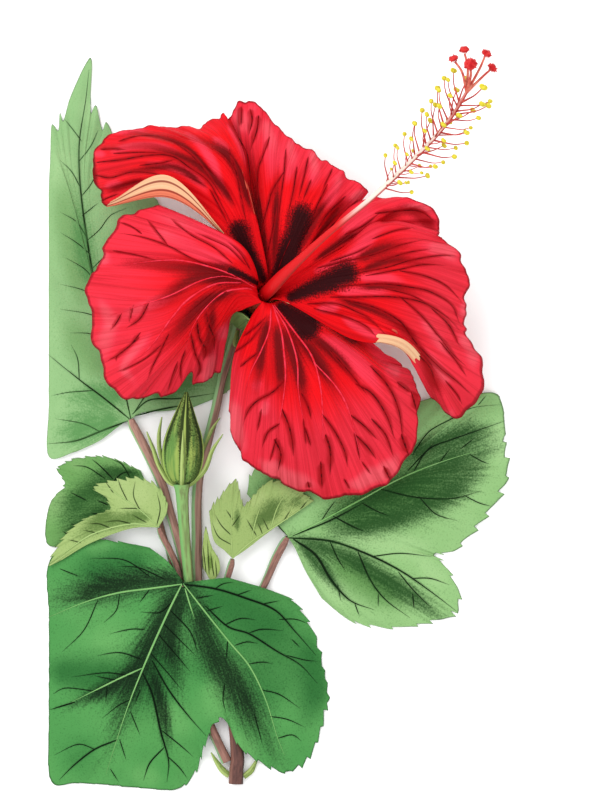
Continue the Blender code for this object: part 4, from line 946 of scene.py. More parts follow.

# Each leaf's painted lines and washes, seen from above: half width, then places. The darker washes are painted half
# shade and painted shade.
leafStrokes = {
    "leafTall": {
        "tone": [(4, (-70, 32), (-73, 48), (-75, 64), (-74, 80)), (5, (-62, 8), (-70, 18), (-76, 30))],
        "line": [
            (0.55, (-54, -6), (-57, 7), (-60.5, 17.5), (-64, 29.5), (-66, 39), (-68, 51), (-69.5, 61.5),
             (-70.5, 72), (-70.5, 83), (-68.5, 96), (-67.5, 105.5)),
            (0.45, (-54.5, -6), (-62.5, 0.5), (-70.5, 6.5), (-80.5, 14.5)),
            (0.45, (-54.5, -6.5), (-62.5, -9.5), (-71.5, -13), (-80.5, -14)),
            (0.35, (-53.5, -4.5), (-48, 0), (-38.5, 0.5), (-25, 2.5)),
            (0.35, (-53, -4), (-44.5, 8), (-35, 16), (-21, 25)), (0.5, (-52.5, -5), (-44.5, -3), (-36.5, -1.5))],
        "side": [(0.3, (-66, 38.5), (-69, 42), (-75, 45.5)), (0.3, (-67, 46.5), (-71, 50), (-76.5, 53.5)),
            (0.3, (-68.5, 52.5), (-71.5, 57), (-76.5, 60)), (0.3, (-69.5, 59), (-64.5, 63)),
            (0.3, (-68, 51), (-64, 54.5), (-60.5, 59), (-55, 61.5)),
            (0.3, (-66.5, 42), (-61.5, 46.5), (-54.5, 51), (-48, 53.5)),
            (0.3, (-70.5, 68.5), (-73, 73), (-76.5, 76.5)), (0.3, (-70.5, 76.5), (-67, 81), (-64.5, 86.5)),
            (0.3, (-64, 31.5), (-69, 35), (-76.5, 37)), (0.3, (-62.5, 25), (-67.5, 27.5), (-76.5, 29)),
            (0.3, (-60.5, 17.5), (-66.5, 21), (-73.5, 21.5)), (0.3, (-62, 22.5), (-56, 29.5), (-44.5, 35)),
            (0.3, (-70.5, 6.5), (-71, 13), (-73, 17.5)), (0.3, (-66.5, 3), (-73.5, 2.5), (-79, 1.5)),
            (0.3, (-64, -10), (-69.5, -7.5), (-78, -6)), (0.3, (-70, 83), (-73, 87), (-75.5, 90)),
            (0.3, (-69.5, 65.5), (-66.5, 69.5), (-64, 75))],
        "shade": [(5, (-57.5, -6.5), (-70.5, -9.5), (-78.5, -14.5)), (4, (-57.5, 0), (-64, 1.5), (-77, 0)),
            (3, (-66, 36), (-68.5, 46), (-70, 56), (-70.5, 70)), (4, (-48, 2), (-38, 5), (-26, 10))],
        "pale": [(4, (-60.5, 64), (-60, 51)), (4, (-76, 80), (-75, 64)), (3, (-68.5, 96), (-67.5, 86.5)),
            (6, (-22.5, 17.5), (-27, 6.5)), (4, (-78, 22.5), (-73.5, 16))],
    },
    "leafRight": {
        "tone": [(9, (9.5, -39), (25.5, -32), (41.5, -25), (56, -17.5)),
            (5, (9.5, -51), (25.5, -60.5), (38.5, -66.5)), (5, (-12, -28), (2, -24), (14, -20))],
        "rib": [(0.6, (-4, -44), (7, -38.5), (19, -32), (32, -25), (44.5, -20), (59, -15.5))],
        "line": [(0.6, (-3.5, -44), (9.5, -45), (21, -49), (32, -54.5), (41.5, -61), (50, -67.5)),
            (0.7, (-2, -44.5), (5, -49.5), (10, -57.5), (16, -64), (23.5, -67)),
            (0.3, (-4, -43.5), (-9.5, -36.5), (-13.5, -27)), (0.5, (-3, -43.5), (9.5, -38.5), (20, -33))],
        "side": [(0.4, (9.5, -45), (12, -50.5), (14.5, -54.5)),
            (0.5, (18.5, -48.5), (22.5, -57.5), (27.5, -64), (35, -69.5)),
            (0.4, (31.5, -55), (36, -60.5), (42, -66.5)), (0.4, (36, -62), (36.5, -67)),
            (0.4, (23, -50), (32, -49), (42, -50)), (0.4, (36, -57), (41.5, -57), (47.5, -59)),
            (0.45, (34.5, -22.5), (41.5, -15.5), (47.5, -13), (56, -10), (66, -6.5)),
            (0.35, (36, -17.5), (38.5, -13.5), (42, -9.5), (49.5, -5.5), (55, -2.5), (64, -1.5)),
            (0.4, (36.5, -22.5), (39.5, -17.5), (43, -13.5)), (0.4, (44.5, -20), (48, -15.5)),
            (0.45, (26, -28.5), (36.5, -31), (48.5, -31.5), (58, -29)),
            (0.35, (38.5, -31.5), (43.5, -36.5), (50, -38.5)), (0.35, (52.5, -30.5), (57.5, -33), (61.5, -34)),
            (0.5, (10.5, -37), (16, -40), (20.5, -42)), (0.4, (20, -33), (24.5, -35.5), (28.5, -37)),
            (0.35, (54.5, -17.5), (58, -19.5), (60.5, -20.5)), (0.3, (6.5, -39), (9.5, -34.5), (11.5, -32)),
            (0.3, (57, -1.5), (59.5, 1.5)), (0.35, (12, -59), (13, -64)), (0.35, (17.5, -65), (19, -69)),
            (0.3, (25, -62), (25, -66)), (0.3, (51.5, -15.5), (56, -12))],
        "shade": [(5, (10, -37.5), (29, -29.5), (45, -21.5), (57, -16), (65, -12)),
            (4.2, (12, -42), (29, -38), (45, -31), (55, -24), (60, -17)),
            (3.6, (34, -18), (47, -12.5), (57, -10), (64, -8.5)),
            (3.3, (-2, -44), (14.5, -50), (29, -58.5), (42, -67), (50, -73)), (2.2, (1, -47), (8, -55), (16, -65))],
        "pale": [(4, (9.5, -42), (32, -46.5), (44.5, -47.5)), (4, (64, -6.5), (65, -22.5)),
            (3, (6.5, -56), (16, -66.5)), (3, (38.5, -51), (48, -60.5)), (4, (44.5, -1.5), (57.5, -1.5))],
    },
    "leafBig": {
        "tone": [(9, (-32, -61), (-19, -67), (-6.5, -77), (1.5, -93)), (8, (-16, -83), (-5, -102.5)),
            (6, (-48, -51), (-64, -54), (-77, -57.5)), (8, (-43, -77), (-47, -89.5), (-52, -106)),
            (6, (-66, -110), (-78, -118)), (4.5, (2, -78), (5, -92), (0, -108)),
            (6, (-80, -86), (-64, -88), (-50, -82)), (5, (-32, -80), (-29, -92))],
        "rib": [(0.6, (-37.5, -58.5), (-48, -60), (-58, -61.5), (-68.5, -64.5), (-80.5, -69.5)),
            (0.65, (-37.5, -58.5), (-41, -65.5), (-44.5, -73), (-50, -85.5), (-55.5, -99.5), (-62, -119.5)),
            (0.55, (-50.5, -85.5), (-58, -89), (-65, -92.5), (-73, -96.5)),
            (0.55, (-37, -58.5), (-30, -67.5), (-22.5, -77), (-16, -85), (-11, -95.5), (-7.5, -107), (-5, -113.5)),
            (0.5, (-36.5, -60), (-35, -65), (-33.5, -69.5))],
        "line": [(0.6, (-37.5, -58.5), (-27, -60), (-17.5, -63), (-8, -67), (-1.5, -74), (5, -81.5)),
            (0.5, (-30, -65.5), (-23, -72), (-16, -74.5), (-7.5, -80), (0, -84.5), (5.5, -90.5)),
            (0.6, (-50, -87), (-47, -94), (-44.5, -105.5), (-42, -115), (-42.5, -122)),
            (0.5, (-47, -83), (-42, -92), (-36.5, -99.5), (-30, -107)),
            (0.5, (-58.5, -108.5), (-65.5, -111.5), (-72, -116.5), (-77, -121.5)), (0.5, (-72, -96.5), (-80, -99)),
            (0.35, (-41, -67), (-35, -73.5), (-32.5, -80.5))],
        "side": [(0.4, (-44, -105.5), (-38.5, -110), (-34, -114)), (0.5, (-43.5, -111), (-48, -116), (-50, -121.5)),
            (0.4, (-42, -114), (-38.5, -117.5), (-36, -121)), (0.4, (-49.5, -73), (-54, -73), (-60.5, -74.5)),
            (0.4, (-50.5, -82.5), (-57.5, -80.5), (-64.5, -81.5)), (0.4, (-53.5, -88), (-62, -87), (-73, -88.5)),
            (0.4, (-58, -89.5), (-65.5, -88)), (0.35, (-61.5, -91.5), (-62, -96.5)),
            (0.35, (-65, -93), (-74.5, -92), (-79, -94)), (0.4, (-41, -64.5), (-44.5, -67.5), (-50.5, -67.5)),
            (0.35, (-43.5, -71), (-38.5, -76), (-33, -81.5)), (0.35, (-45.5, -74), (-39, -81.5), (-34.5, -87)),
            (0.35, (-48, -80), (-42, -87), (-37.5, -92.5)), (0.35, (-65.5, -111.5), (-71, -110), (-78.5, -113.5)),
            (0.35, (-54, -95.5), (-58, -97.5), (-63, -101.5)), (0.35, (-54, -99.5), (-51, -107)),
            (0.35, (-57.5, -108.5), (-55.5, -115)), (0.35, (-60.5, -118), (-58, -122)),
            (0.4, (-24, -71.5), (-19, -69.5), (-14, -70)), (0.4, (-16, -74), (-12, -73), (-5.5, -73.5)),
            (0.4, (-20.5, -78), (-17, -77), (-13.5, -77.5)), (0.4, (-16, -84), (-12, -83.5), (-9, -84)),
            (0.4, (-12, -92.5), (-6.5, -94), (0, -98.5)), (0.4, (-9.5, -101), (-4, -102), (1.5, -104.5)),
            (0.4, (-7, -108), (-2.5, -107), (0.5, -109)), (0.35, (-27, -60), (-24.5, -58.5), (-21, -58)),
            (0.35, (-20, -62), (-15.5, -60.5)), (0.35, (-12, -65), (-6.5, -64)), (0.35, (-33, -63), (-27.5, -62)),
            (0.35, (-29.5, -67), (-24.5, -65.5)), (0.35, (-24, -90.5), (-24.5, -95.5), (-23.5, -99.5)),
            (0.35, (-6.5, -70), (-1.5, -70), (2.5, -71.5)), (0.35, (-4, -81.5), (1.5, -83), (5.5, -83.5)),
            (0.35, (-23, -76.5), (-23.5, -83)), (0.35, (-14.5, -100.5), (-12, -110)), (0.35, (-2.5, -76.5), (0, -79)),
            (0.35, (-57.5, -62), (-58.5, -67), (-62.5, -71)), (0.35, (-64.5, -64), (-69, -73.5), (-76, -80.5)),
            (0.35, (-48, -60.5), (-51, -64.5)), (0.35, (-48, -56), (-56, -51), (-67, -50.5)),
            (0.35, (-43, -57), (-51, -53.5), (-58, -53)), (0.35, (-76.5, -54), (-70, -56.5)),
            (0.35, (-51, -92.5), (-52.5, -96.5))],
        "shade": [(4.6, (-36, -57), (-48, -57.5), (-61, -59.5), (-73.5, -62.5), (-84, -66)),
            (4.4, (-37, -58), (-44, -70), (-49.5, -81.5), (-54, -92.5), (-58.5, -104), (-62, -117)),
            (5, (-33, -62), (-30, -75.5), (-24, -86), (-17, -97.5), (-11, -108), (-3, -121)),
            (3.4, (-37, -62), (-41, -73), (-40, -84), (-37, -99)), (2.6, (-50, -85), (-62, -92.5), (-77, -99)),
            (2.2, (-47, -86), (-43.5, -100), (-41.5, -116))],
        "pale": [(6, (-67, -76.5), (-60.5, -78), (-68.5, -84.5)), (5, (-44.5, -97.5), (-38.5, -103.5), (-33.5, -110)),
            (5, (-28, -89.5), (-27, -97.5), (-21.5, -103.5)), (6, (-67, -102), (-72, -105.5)),
            (4, (-20.5, -65.5), (-14.5, -68.5)), (4, (-16, -78), (-9, -85.5)), (4, (-54, -119.5), (-41.5, -122)),
            (3, (-60.5, -46.5), (-70, -48.5)), (4, (-21.5, -107), (-12, -115))],
    },
    "leafFolded": {
        "rib": [(0.5, (-45.5, -40.5), (-54, -39.5), (-65.5, -42.5), (-73.5, -47.5), (-79.5, -52.5)),
            (0.35, (-45.5, -40), (-51, -35), (-57.5, -30.5), (-61, -28), (-65.5, -27.5))],
        "side": [(0.3, (-51, -35), (-53, -30.5), (-52.5, -26)), (0.3, (-55, -32), (-57, -28), (-58, -25)),
            (0.3, (-45.5, -39.5), (-44.5, -34.5), (-45.5, -29.5)), (0.35, (-53.5, -39.5), (-58, -38.5), (-62.5, -39)),
            (0.3, (-51, -34.5), (-57.5, -34.5)), (0.35, (-60, -41), (-64, -39.5), (-67.5, -39.5)),
            (0.35, (-64.5, -42.5), (-69, -41.5)), (0.3, (-49, -39), (-53.5, -36.5)),
            (0.3, (-59.5, -29.5), (-62, -26)), (0.3, (-70, -45.5), (-74, -44.5))],
        "shade": [(2.8, (-52, -38), (-64, -39.5), (-74, -46)), (1.6, (-61, -36.5), (-66.5, -38.5)),
            (1.6, (-48, -37.5), (-56, -36.5))],
        "pale": [(4, (-48, -32), (-54, -27))],
    },
    "leafShaded": {
        "side": [(0.4, (-61, -27.5), (-57, -23.5), (-53.5, -23)), (0.4, (-60, -25), (-64, -21), (-66.5, -19)),
            (0.4, (-54.5, -24.5), (-57, -20.5), (-60, -19)), (0.35, (-62.5, -25), (-68, -21.5), (-72.5, -21)),
            (0.35, (-68.5, -32), (-73.5, -29.5)), (0.4, (-61.5, -33.5), (-65, -32)), (0.4, (-62.5, -37), (-67, -36)),
            (0.4, (-69, -41), (-73.5, -39.5)), (0.4, (-73, -43.5), (-76, -42))],
        "shade": [(4.4, (-56, -26.5), (-66, -29), (-73, -35), (-76.5, -44)),
            (3.2, (-62, -34), (-70, -41), (-75.5, -46)), (1.8, (-51, -24), (-60, -23), (-68, -24))],
        "pale": [(3, (-76, -29), (-78.5, -33.5), (-79.5, -41.5)), (2.5, (-73.5, -21), (-67, -19))],
    },
    "leafYoung": {
        "rib": [(0.35, (-21.5, -50.5), (-22, -41.5), (-21.5, -33.5), (-20.5, -27)),
            (0.5, (-21.5, -50.5), (-16, -45.5), (-9, -41), (-1.5, -36), (4.5, -32)),
            (0.35, (-15.5, -44.5), (-14, -38), (-12, -32.5)), (0.35, (-9.5, -41.5), (-7.5, -35), (-4.5, -29.5)),
            (0.3, (-4, -38), (-1.5, -32))],
        "side": [(0.3, (-22, -43), (-25, -40), (-27, -36.5)), (0.3, (-22, -46), (-26, -43.5), (-28, -39)),
            (0.3, (-21.5, -38), (-23.5, -35)), (0.3, (-21.5, -40), (-19, -36.5)), (0.35, (-14, -43), (-17, -38)),
            (0.3, (-12, -42.5), (-13.5, -39)), (0.3, (-5.5, -39), (-3, -35)), (0.3, (-10, -41.5), (-12, -37.5)),
            (0.3, (0, -35), (2.5, -32))],
        "shade": [(2.6, (-14.5, -40), (-9, -34.5), (-3, -31)), (1, (-20, -41.5), (-20, -33.5)),
            (2, (-3, -33.5), (2, -31)), (1.4, (-12, -38), (-6.5, -35.5))],
        "pale": [(2.5, (-27, -38), (-25, -44.5)), (2.5, (-15.5, -33.5), (-10, -28))],
    },
    "leafUnfurling": {
        "side": [(0.3, (-30, -55), (-31, -46)), (0.3, (-29, -55.5), (-29.5, -44.5)),
            (0.3, (-27.5, -56), (-28.5, -48.5)), (0.3, (-26.5, -56.5), (-27, -51)), (0.3, (-31, -54), (-31, -49.5))],
        "shade": [(1, (-28.5, -54), (-29, -48))],
    },
}

# Each leaf's paints, in the order of leafPaints; the second and third are painted half shade and painted shade.
leafPaints = ("base", "tone", "shade", "pale", "rib", "line")
leafColours = {
    "leafTall": [(150, 195, 132), (124, 170, 104), (92, 150, 84), (172, 212, 150), (120, 180, 110), (22, 44, 16)],
    "leafRight": [(146, 194, 124), (88, 140, 70), (26, 72, 24), (168, 210, 144), (128, 186, 106), (14, 34, 14)],
    "leafBig": [(80, 154, 80), (34, 102, 44), (4, 24, 8), (112, 180, 102), (140, 196, 118), (8, 26, 10)],
    "leafFolded": [(166, 192, 118), (120, 156, 82), (90, 122, 58), (186, 206, 140), (176, 208, 130), (40, 56, 24)],
    "leafShaded": [(112, 166, 92), (66, 116, 54), (38, 84, 34), (136, 180, 112), (140, 190, 120), (12, 30, 12)],
    "leafYoung": [(158, 184, 110), (110, 142, 72), (80, 110, 52), (180, 202, 132), (176, 206, 126), (44, 60, 26)],
    "leafUnfurling": [
        (170, 196, 114), (120, 150, 76), (110, 140, 62), (186, 206, 136), (166, 206, 120), (40, 56, 24)],
}

# How each blade is made: teeth as (depth, spacing), puffing between veins, waves of the rim, which columns end in
# tips, and between which the rim is plain.
leafMake = {
    "leafTall": {"grid": (420, 110), "teeth": (0.8, 5.2), "puff": 0.3, "wave": 0.3, "seed": 3,
                 "tips": (3, 13, 22), "plain": (1, 19)},
    "leafRight": {"grid": (400, 110), "teeth": (2.6, 6.6), "puff": 0.5, "wave": 0.5, "seed": 8,
                  "tips": (1, 8, 15), "plain": (5.6, 7.8)},
    "leafBig": {"grid": (420, 110), "teeth": (2.1, 5.0), "puff": 0.6, "wave": 0.5, "seed": 14,
                "tips": (4, 9, 18, 22), "plain": (2.6, 11.2)},
    "leafFolded": {"grid": (240, 60), "teeth": (2.2, 3.0), "puff": 0.35, "wave": 0.3, "seed": 21, "tips": (3, 8)},
    "leafShaded": {"grid": (200, 60), "teeth": (1.6, 3.2), "puff": 0.3, "wave": 0.3, "seed": 27,
                   "tips": (3, 5), "plain": (4.6, 6.4)},
    "leafYoung": {"grid": (240, 60), "teeth": (1.6, 2.8), "puff": 0.3, "wave": 0.3, "seed": 33, "tips": (2, 7)},
    "leafUnfurling": {"grid": (120, 50), "teeth": (0.8, 2.0), "puff": 0.2, "wave": 0.2, "seed": 39, "tips": (1,)},
}
leafSheet = {
    "thickness": 0.32, "start": 0.05, "toothBand": 0.14,
    "shadeSinks": 0.5,  # how far painted shade presses the sheet in, as a share of its puffing
    "veinWidth": 2.6,  # half width of the valley over each vein
    "settle": 0.6,  # how softly a low part of the blade comes to rest over the floor
    "lineShare": 0.46, "sideShare": 0.42, "ribShare": 0.5,  # how much of a line's width its raised vein takes
    "shine": 0.08, "relief": 0.0003,
}


def leafFinish(name, hue, underside):
    kit = Finish(name + ("Under" if underside else "Face"))
    grain = kit.speckle(2000.0, 2.0)
    cloud = kit.speckle(45.0, 2.0)
    hatch = kit.fibres(170.0, 6.0, 2.0)
    tone = kit.painted("tone") + 0.3 * (grain - 0.5) + 0.3 * (cloud - 0.5)
    shade = kit.painted("shade") + 0.8 * (grain - 0.5) + 0.25 * (cloud - 0.5) + 0.7 * (hatch - 0.5)
    colour = kit.over(hue["base"], hue["pale"], cloud, 0.35, 0.68, 0.3)
    colour = kit.over(colour, hue["pale"], kit.painted("pale") + 0.3 * (cloud - 0.5), 0.1, 1.0, 0.7)
    # painted half shade, then painted shade beside the veins, roughened by stipple and hatching
    colour = kit.over(colour, hue["tone"], tone, 0.05, 1.05, 0.85)
    colour = kit.over(colour, hue["shade"], shade, 0.05, 1.0, 0.93)
    colour = kit.over(colour, hue["shade"], grain, 0.52, 0.78, 0.24)
    colour = kit.over(colour, hue["line"], kit.painted("beside"), 0.1, 1.0, 0.5)
    colour = kit.over(colour, hue["line"], kit.painted("edge"), 0.5, 1.0, 0.65)
    if underside:
        colour = kit.mixed(0.45, colour, hue["pale"])
    return kit.closed(colour, 0.55 + 0.2 * grain, 0.7 * grain + 0.3 * cloud, leafSheet["relief"], leafSheet["shine"])


def toothed(points, u, v, make, last):
    # moves the rim out into teeth that point towards the nearest tip
    across, rim = u[:, 0], points[:, -1]
    length = np.append(0, np.cumsum(np.linalg.norm(np.diff(rim, axis=0), axis=1)))
    place = across * last
    tips = np.array(make["tips"])
    towards = np.sign(tips[np.abs(place[:, None] - tips).argmin(axis=1)] - place)
    depth, spacing = make["teeth"]
    phase = (length / spacing + 0.18 * waves(across, 13, make["seed"])) % 1.0
    rising = np.where(towards >= 0, phase, 1 - phase)
    uneven = 0.75 + 0.35 * waves(across, 17, make["seed"] + 4)
    tooth = depth * uneven * (rising**1.5 - 0.55) * eased(np.minimum(across, 1 - across), 0.0, 0.06)
    if "plain" in make:
        begin, end = make["plain"]
        tooth *= 1 - 0.88 * eased(place, begin - 0.3, begin) * (1 - eased(place, end, end + 0.3))
    outward = rim - points[:, -4]
    outward[:, 2] = 0
    reach = (v - (1 - leafSheet["toothBand"])).clip(0) / leafSheet["toothBand"]
    return points + unit(outward)[:, None] * (tooth[:, None] * reach**2)[..., None]


def settled(height):
    # keeps a blade off the floor without a sharp crease
    low, soft = floorGap + leafSheet["thickness"] / 2 - sprigShift[2], leafSheet["settle"]
    return np.where(height < low + soft, low + soft * np.exp((height - low - soft) / soft), height)


def makeLeaf(name):
    shape, make, strokes = leafShapes[name], leafMake[name], leafStrokes[name]
    hue = {part: paint(*tint) for part, tint in zip(leafPaints, leafColours[name])}
    centre = np.array(shape["junction"])
    columns = []
    for vein in shape["veins"]:
        out = np.array(vein[0]) - centre
        columns.append([centre + out / np.linalg.norm(out) * leafSheet["start"]] + [np.array(p) for p in vein])
    points, u, v = gridOf(columns, *make["grid"])
    points = toothed(points, u, v, make, len(columns) - 1)
    # washes of painted half shade, painted shade and paler green
    maps = {key: washed(points, strokes.get(key, [])) for key in ("tone", "shade", "pale")}
    main, side, ribs = [strokes.get(key, []) for key in ("line", "side", "rib")]
    maps["beside"] = np.maximum(stroked(points, main), 0.8 * stroked(points, side))
    maps["edge"] = eased(v, 0.985, 1.0)
    # the blade puffs up between its veins
    sunk = stroked(points, [(leafSheet["veinWidth"], *places) for width, *places in main + ribs + side], False)
    height = make["puff"] * (1 - sunk) * eased(v, 0.05, 0.3) * eased(1 - v, 0.0, 0.12)
    height = height - maps["shade"] * leafSheet["shadeSinks"] * make["puff"]
    height = height + make["wave"] * waves(u, 15, make["seed"] + 9) * eased(v, 0.6, 1.0)
    points = points + np.array([0.0, 0.0, 1.0]) * height[..., None]
    points[..., 2] = settled(points[..., 2])
    finishes = [leafFinish(name, hue, False), leafFinish(name, hue, True)]
    shell(name, points, leafSheet["thickness"], maps, (u, v), finishes, "leaf", [cadName(name)])
    lifted = points + np.array([0.0, 0.0, leafSheet["thickness"] / 2])
    dark = widened(main, leafSheet["lineShare"]) + widened(side, leafSheet["sideShare"])
    for part, veins, share, other in (("Line", dark, 1.0, "shade"), ("Rib", ribs, leafSheet["ribShare"], "pale")):
        vein = mottled(name + part, hue[part.lower()], hue[other], 160.0, 2.0, (0.4, 0.7, 0.4), 0.6, 0.0001, 0.05)
        threads(name + part + "s", lifted, v < 0.995, veins, share, vein, "leaf")


# Stalks, the stem, the bracts, the bud and the calyx.


def stalkFinish(name, right, left, edge, share):
    # the lit side of a stalk is green and the other brown, with fine streaks along it
    kit = Finish(name)
    streak = kit.fibres(14.0, 9.0, 3.0)
    grain = kit.speckle(900.0, 3.0)
    side = kit.painted("leftward") + 0.5 * (streak - 0.5)
    colour = kit.over(right, edge, streak, 0.35, 0.7, 0.55)
    colour = kit.over(colour, left, side, share - 0.12, share + 0.12)
    # painted shade: the far right edge, turned from the light, darkens to the edge colour
    colour = kit.over(colour, edge, kit.painted("leftward") * -1.0, 0.72, 0.95, 0.7)
    return kit.closed(colour, 0.55 + 0.2 * grain, 0.6 * streak + 0.4 * grain, 0.0004, 0.3)


# right side, left side, streaks and edge, and how far round the left side's colour comes
stalkTints = {
    "flowerStalk": (paint(184, 144, 126), paint(158, 206, 142), paint(82, 50, 40), 0.28),
    "greenStalk": (paint(138, 182, 104), paint(128, 186, 108), paint(96, 72, 48), 0.4),
    "brownStalk": (paint(196, 150, 134), paint(158, 206, 142), paint(98, 60, 52), 0.6),
    "darkStalk": (paint(164, 118, 104), paint(150, 198, 144), paint(62, 36, 30), 0.62),
    "stemBark": (paint(110, 70, 62), paint(140, 96, 84), paint(36, 20, 18), 0.55),
    "bractSkin": (paint(150, 176, 88), paint(178, 200, 116), paint(60, 72, 30), 0.1),
}

stalkShape = {"sides": 28, "steps": 90}
# Each stalk: what it stands for, its finish, and its route as (x, y, z, radius).
stalkRoutes = {
    "mainStem": ("main_stem", "stemBark", [
        (-20.5, -122.6, 2.4, 2.35), (-20.3, -118, 2.4, 2.25), (-20, -113.5, 2.4, 2.15), (-21.5, -100.5, 2.4, 2.05),
        (-27, -83, 2.4, 2), (-31.2, -72.5, 2.4, 1.9), (-32.4, -68.4, 2.4, 1.6)]),
    "flowerStalk": ("stalk_flower", "flowerStalk", [
        (-32.2, -69.5, 2.4, 1.92), (-33, -56, 2.2, 1.73), (-33, -44.5, 2, 1.66), (-33, -32, 2, 1.6),
        (-32, -22.5, 2, 1.6), (-29.5, -13, 2.4, 1.54), (-27, -3, 2.8, 1.47), (-25, 6.5, 3.4, 1.41),
        (-22.5, 14.5, 4.2, 1.41), (-20.6, 20.5, 5.5, 1.54), (-19.3, 25, 7.4, 1.92), (-18.7, 26.2, 9.2, 2.18)]),
    "budStalk": ("stalk_bud", "greenStalk", [
        (-32.6, -71.5, 5, 1.5), (-35, -61, 6.4, 1.5), (-36, -51, 7.6, 1.62), (-37, -38, 9.4, 1.8),
        (-37.4, -30, 10.4, 2.1), (-37.5, -26.8, 10.5, 2.76)]),
    "tallLeafStalk": ("stalk_tall_leaf", "brownStalk", [
        (-54.1, -6.2, 3, 1.08), (-52.9, -9, 3, 1.49), (-49.5, -15.5, 3, 1.55), (-44.5, -26, 2.8, 1.55),
        (-41.5, -36, 2.6, 1.49), (-38.5, -46.5, 2.6, 1.49), (-36.2, -57.5, 2.4, 1.49), (-34.8, -69, 2.4, 1.49)]),
    "foldedLeafStalk": ("stalk_folded_leaf", "darkStalk", [
        (-44.9, -40.8, 7, 0.78), (-44, -43.2, 6.6, 1.04), (-41.5, -48, 6, 1.1), (-39, -54, 5.2, 1.1),
        (-37.8, -60.5, 4.9, 1.1), (-34.6, -70, 4.3, 1.1)]),
    "shadedLeafStalk": ("stalk_shaded_leaf", "darkStalk", [
        (-46.4, -34.2, 1.3, 0.6), (-45.5, -35.7, 1.2, 0.84), (-44, -41.5, 1, 0.84), (-41.5, -51, 1, 0.84),
        (-39.5, -64, 1, 0.84), (-35, -72.5, 1.2, 0.84)]),
    "youngLeafStalk": ("stalk_young_leaf", "darkStalk", [
        (-21.6, -50.8, 5.9, 0.78), (-22, -52.7, 5.2, 1.1), (-23, -56, 4.2, 1.1), (-25.5, -64, 3.2, 1.04),
        (-30.2, -72, 2.8, 1.04)]),
    "rightLeafStalk": ("stalk_right_leaf", "darkStalk", [
        (-4.1, -43.8, 3.5, 0.84), (-5.2, -45.6, 3, 1.32), (-8, -51, 2, 1.38), (-12, -60, 1.6, 1.2),
        (-19, -72.5, 1.6, 1.2), (-26.4, -84, 2.1, 1.2)]),
    "bigLeafStalk": ("stalk_big_leaf", "darkStalk", [
        (-37.2, -58.8, 9.3, 0.7), (-38.2, -61.5, 8.1, 1.1), (-38, -70, 6.8, 1.2), (-36.5, -83, 5.2, 1.3),
        (-31.5, -97.5, 3, 1.4), (-28.5, -104.5, 2.4, 1.5), (-26, -110, 2.3, 1.55), (-23.4, -115.6, 2.3, 1.7)]),
}

bractShape = {"sides": 20, "steps": 40, "wide": 1.08, "high": 0.6}
# Each bract: its slot and its route.
bractRoutes = {
    "budBractOuterLeft": ("bud", [
        (-38.6, -27.4, 10.2, 0.5), (-41.8, -25.8, 10.4, 0.68), (-44.9, -20.6, 10.8, 0.68), (-46.6, -15.5, 11.6, 0.58),
        (-48.6, -10, 13, 0.18)]),
    "budBractLeft": ("bud", [
        (-42.6, -24, 7.4, 0.5), (-44.6, -16.5, 6.4, 0.65), (-44.9, -11, 6.2, 0.58), (-44, -5.4, 6.4, 0.18)]),
    "budBractFront": ("bud", [
        (-37.5, -27.2, 12.4, 0.58), (-37.2, -24.4, 15.8, 0.76), (-37, -17, 18, 0.65), (-36.9, -9.5, 18.2, 0.14)]),
    "budBractRight": ("bud", [
        (-31.2, -17, 6.8, 0.43), (-28.8, -11, 6.2, 0.58), (-27.6, -8.6, 6.2, 0.43), (-25.4, -5.6, 6.8, 0.14)]),
    "budBractOuterRight": ("bud", [
        (-36, -27.6, 10.8, 0.58), (-33.2, -25.4, 11.2, 0.72), (-30, -21.8, 11.6, 0.72), (-27.8, -16, 12.4, 0.58),
        (-24.4, -10.8, 13.6, 0.14)]),
    "flowerBractLeft": ("calyx", [
        (-22.2, 26.8, 8.4, 0.6), (-26, 29, 11.5, 0.9), (-28.2, 30, 16, 0.25)]),
    "flowerBractRight": ("calyx", [
        (-15, 23.4, 8.8, 0.6), (-11.5, 20.6, 12, 0.9), (-10.5, 19.6, 16.5, 0.25)]),
    "flowerBractFront": ("calyx", [
        (-19.8, 22, 10.2, 0.6), (-20.4, 18, 13.4, 0.9), (-20.4, 16.8, 17, 0.25)]),
    "stipuleLeft": ("stalk", [
        (-22.6, -120, 1.6, 0.9), (-24.6, -118.4, 1.7, 0.95), (-26.4, -116, 2, 0.7), (-28.4, -112.6, 2.6, 0.2)]),
    "stipuleRight": ("stalk", [
        (-18, -120.4, 1.8, 0.8), (-15.8, -118.6, 1.5, 0.9), (-14.6, -116.6, 1.2, 0.6), (-13.4, -114.4, 1.1, 0.2)]),
}

budShape = {
    "knots": [
        (-37.5, -27.2, 10.5, 1.6), (-37.5, -26.4, 10.5, 3.0), (-37.5, -25.2, 10.5, 4.3), (-37.4, -22.5, 10.5, 5.9),
        (-37.3, -18.5, 10.5, 6.7), (-37.1, -14.5, 10.5, 6.6), (-36.9, -10.5, 10.5, 5.7), (-36.7, -6.5, 10.5, 4.2),
        (-36.4, -2.5, 10.5, 2.6), (-36.2, 0.4, 10.5, 1.4), (-36.1, 2.6, 10.5, 0.5)],
    "sides": 160, "steps": 110, "sepals": 5, "turned": 1.5, "ridge": 0.06,
}


def budSeam(turn):
    # the angle to the nearest of the five ribs
    part = 2 * np.pi / budShape["sepals"]
    return np.abs((turn - budShape["turned"] + part / 2) % part - part / 2)


def budRidge(turn, t):
    return bump(budSeam(turn), 0.06 + 0.06 * t) + 0 * t


def budGutter(turn, t):
    # the dark lines beside the ribs, the shade round them towards the tip and that at the base
    beside = 0.8 * bump(budSeam(turn) - 0.15 - 0.08 * t, 0.055) * (1 - 0.5 * t)
    wide = bump(budSeam(turn) - 0.12, 0.1 + 0.5 * t) * eased(t, 0.32, 0.66)
    base = 0.7 * eased(0.3 - t, 0, 0.22) * eased(budSeam(turn), 0.0, 0.4)
    return np.minimum(1, beside + 0.95 * wide + base)


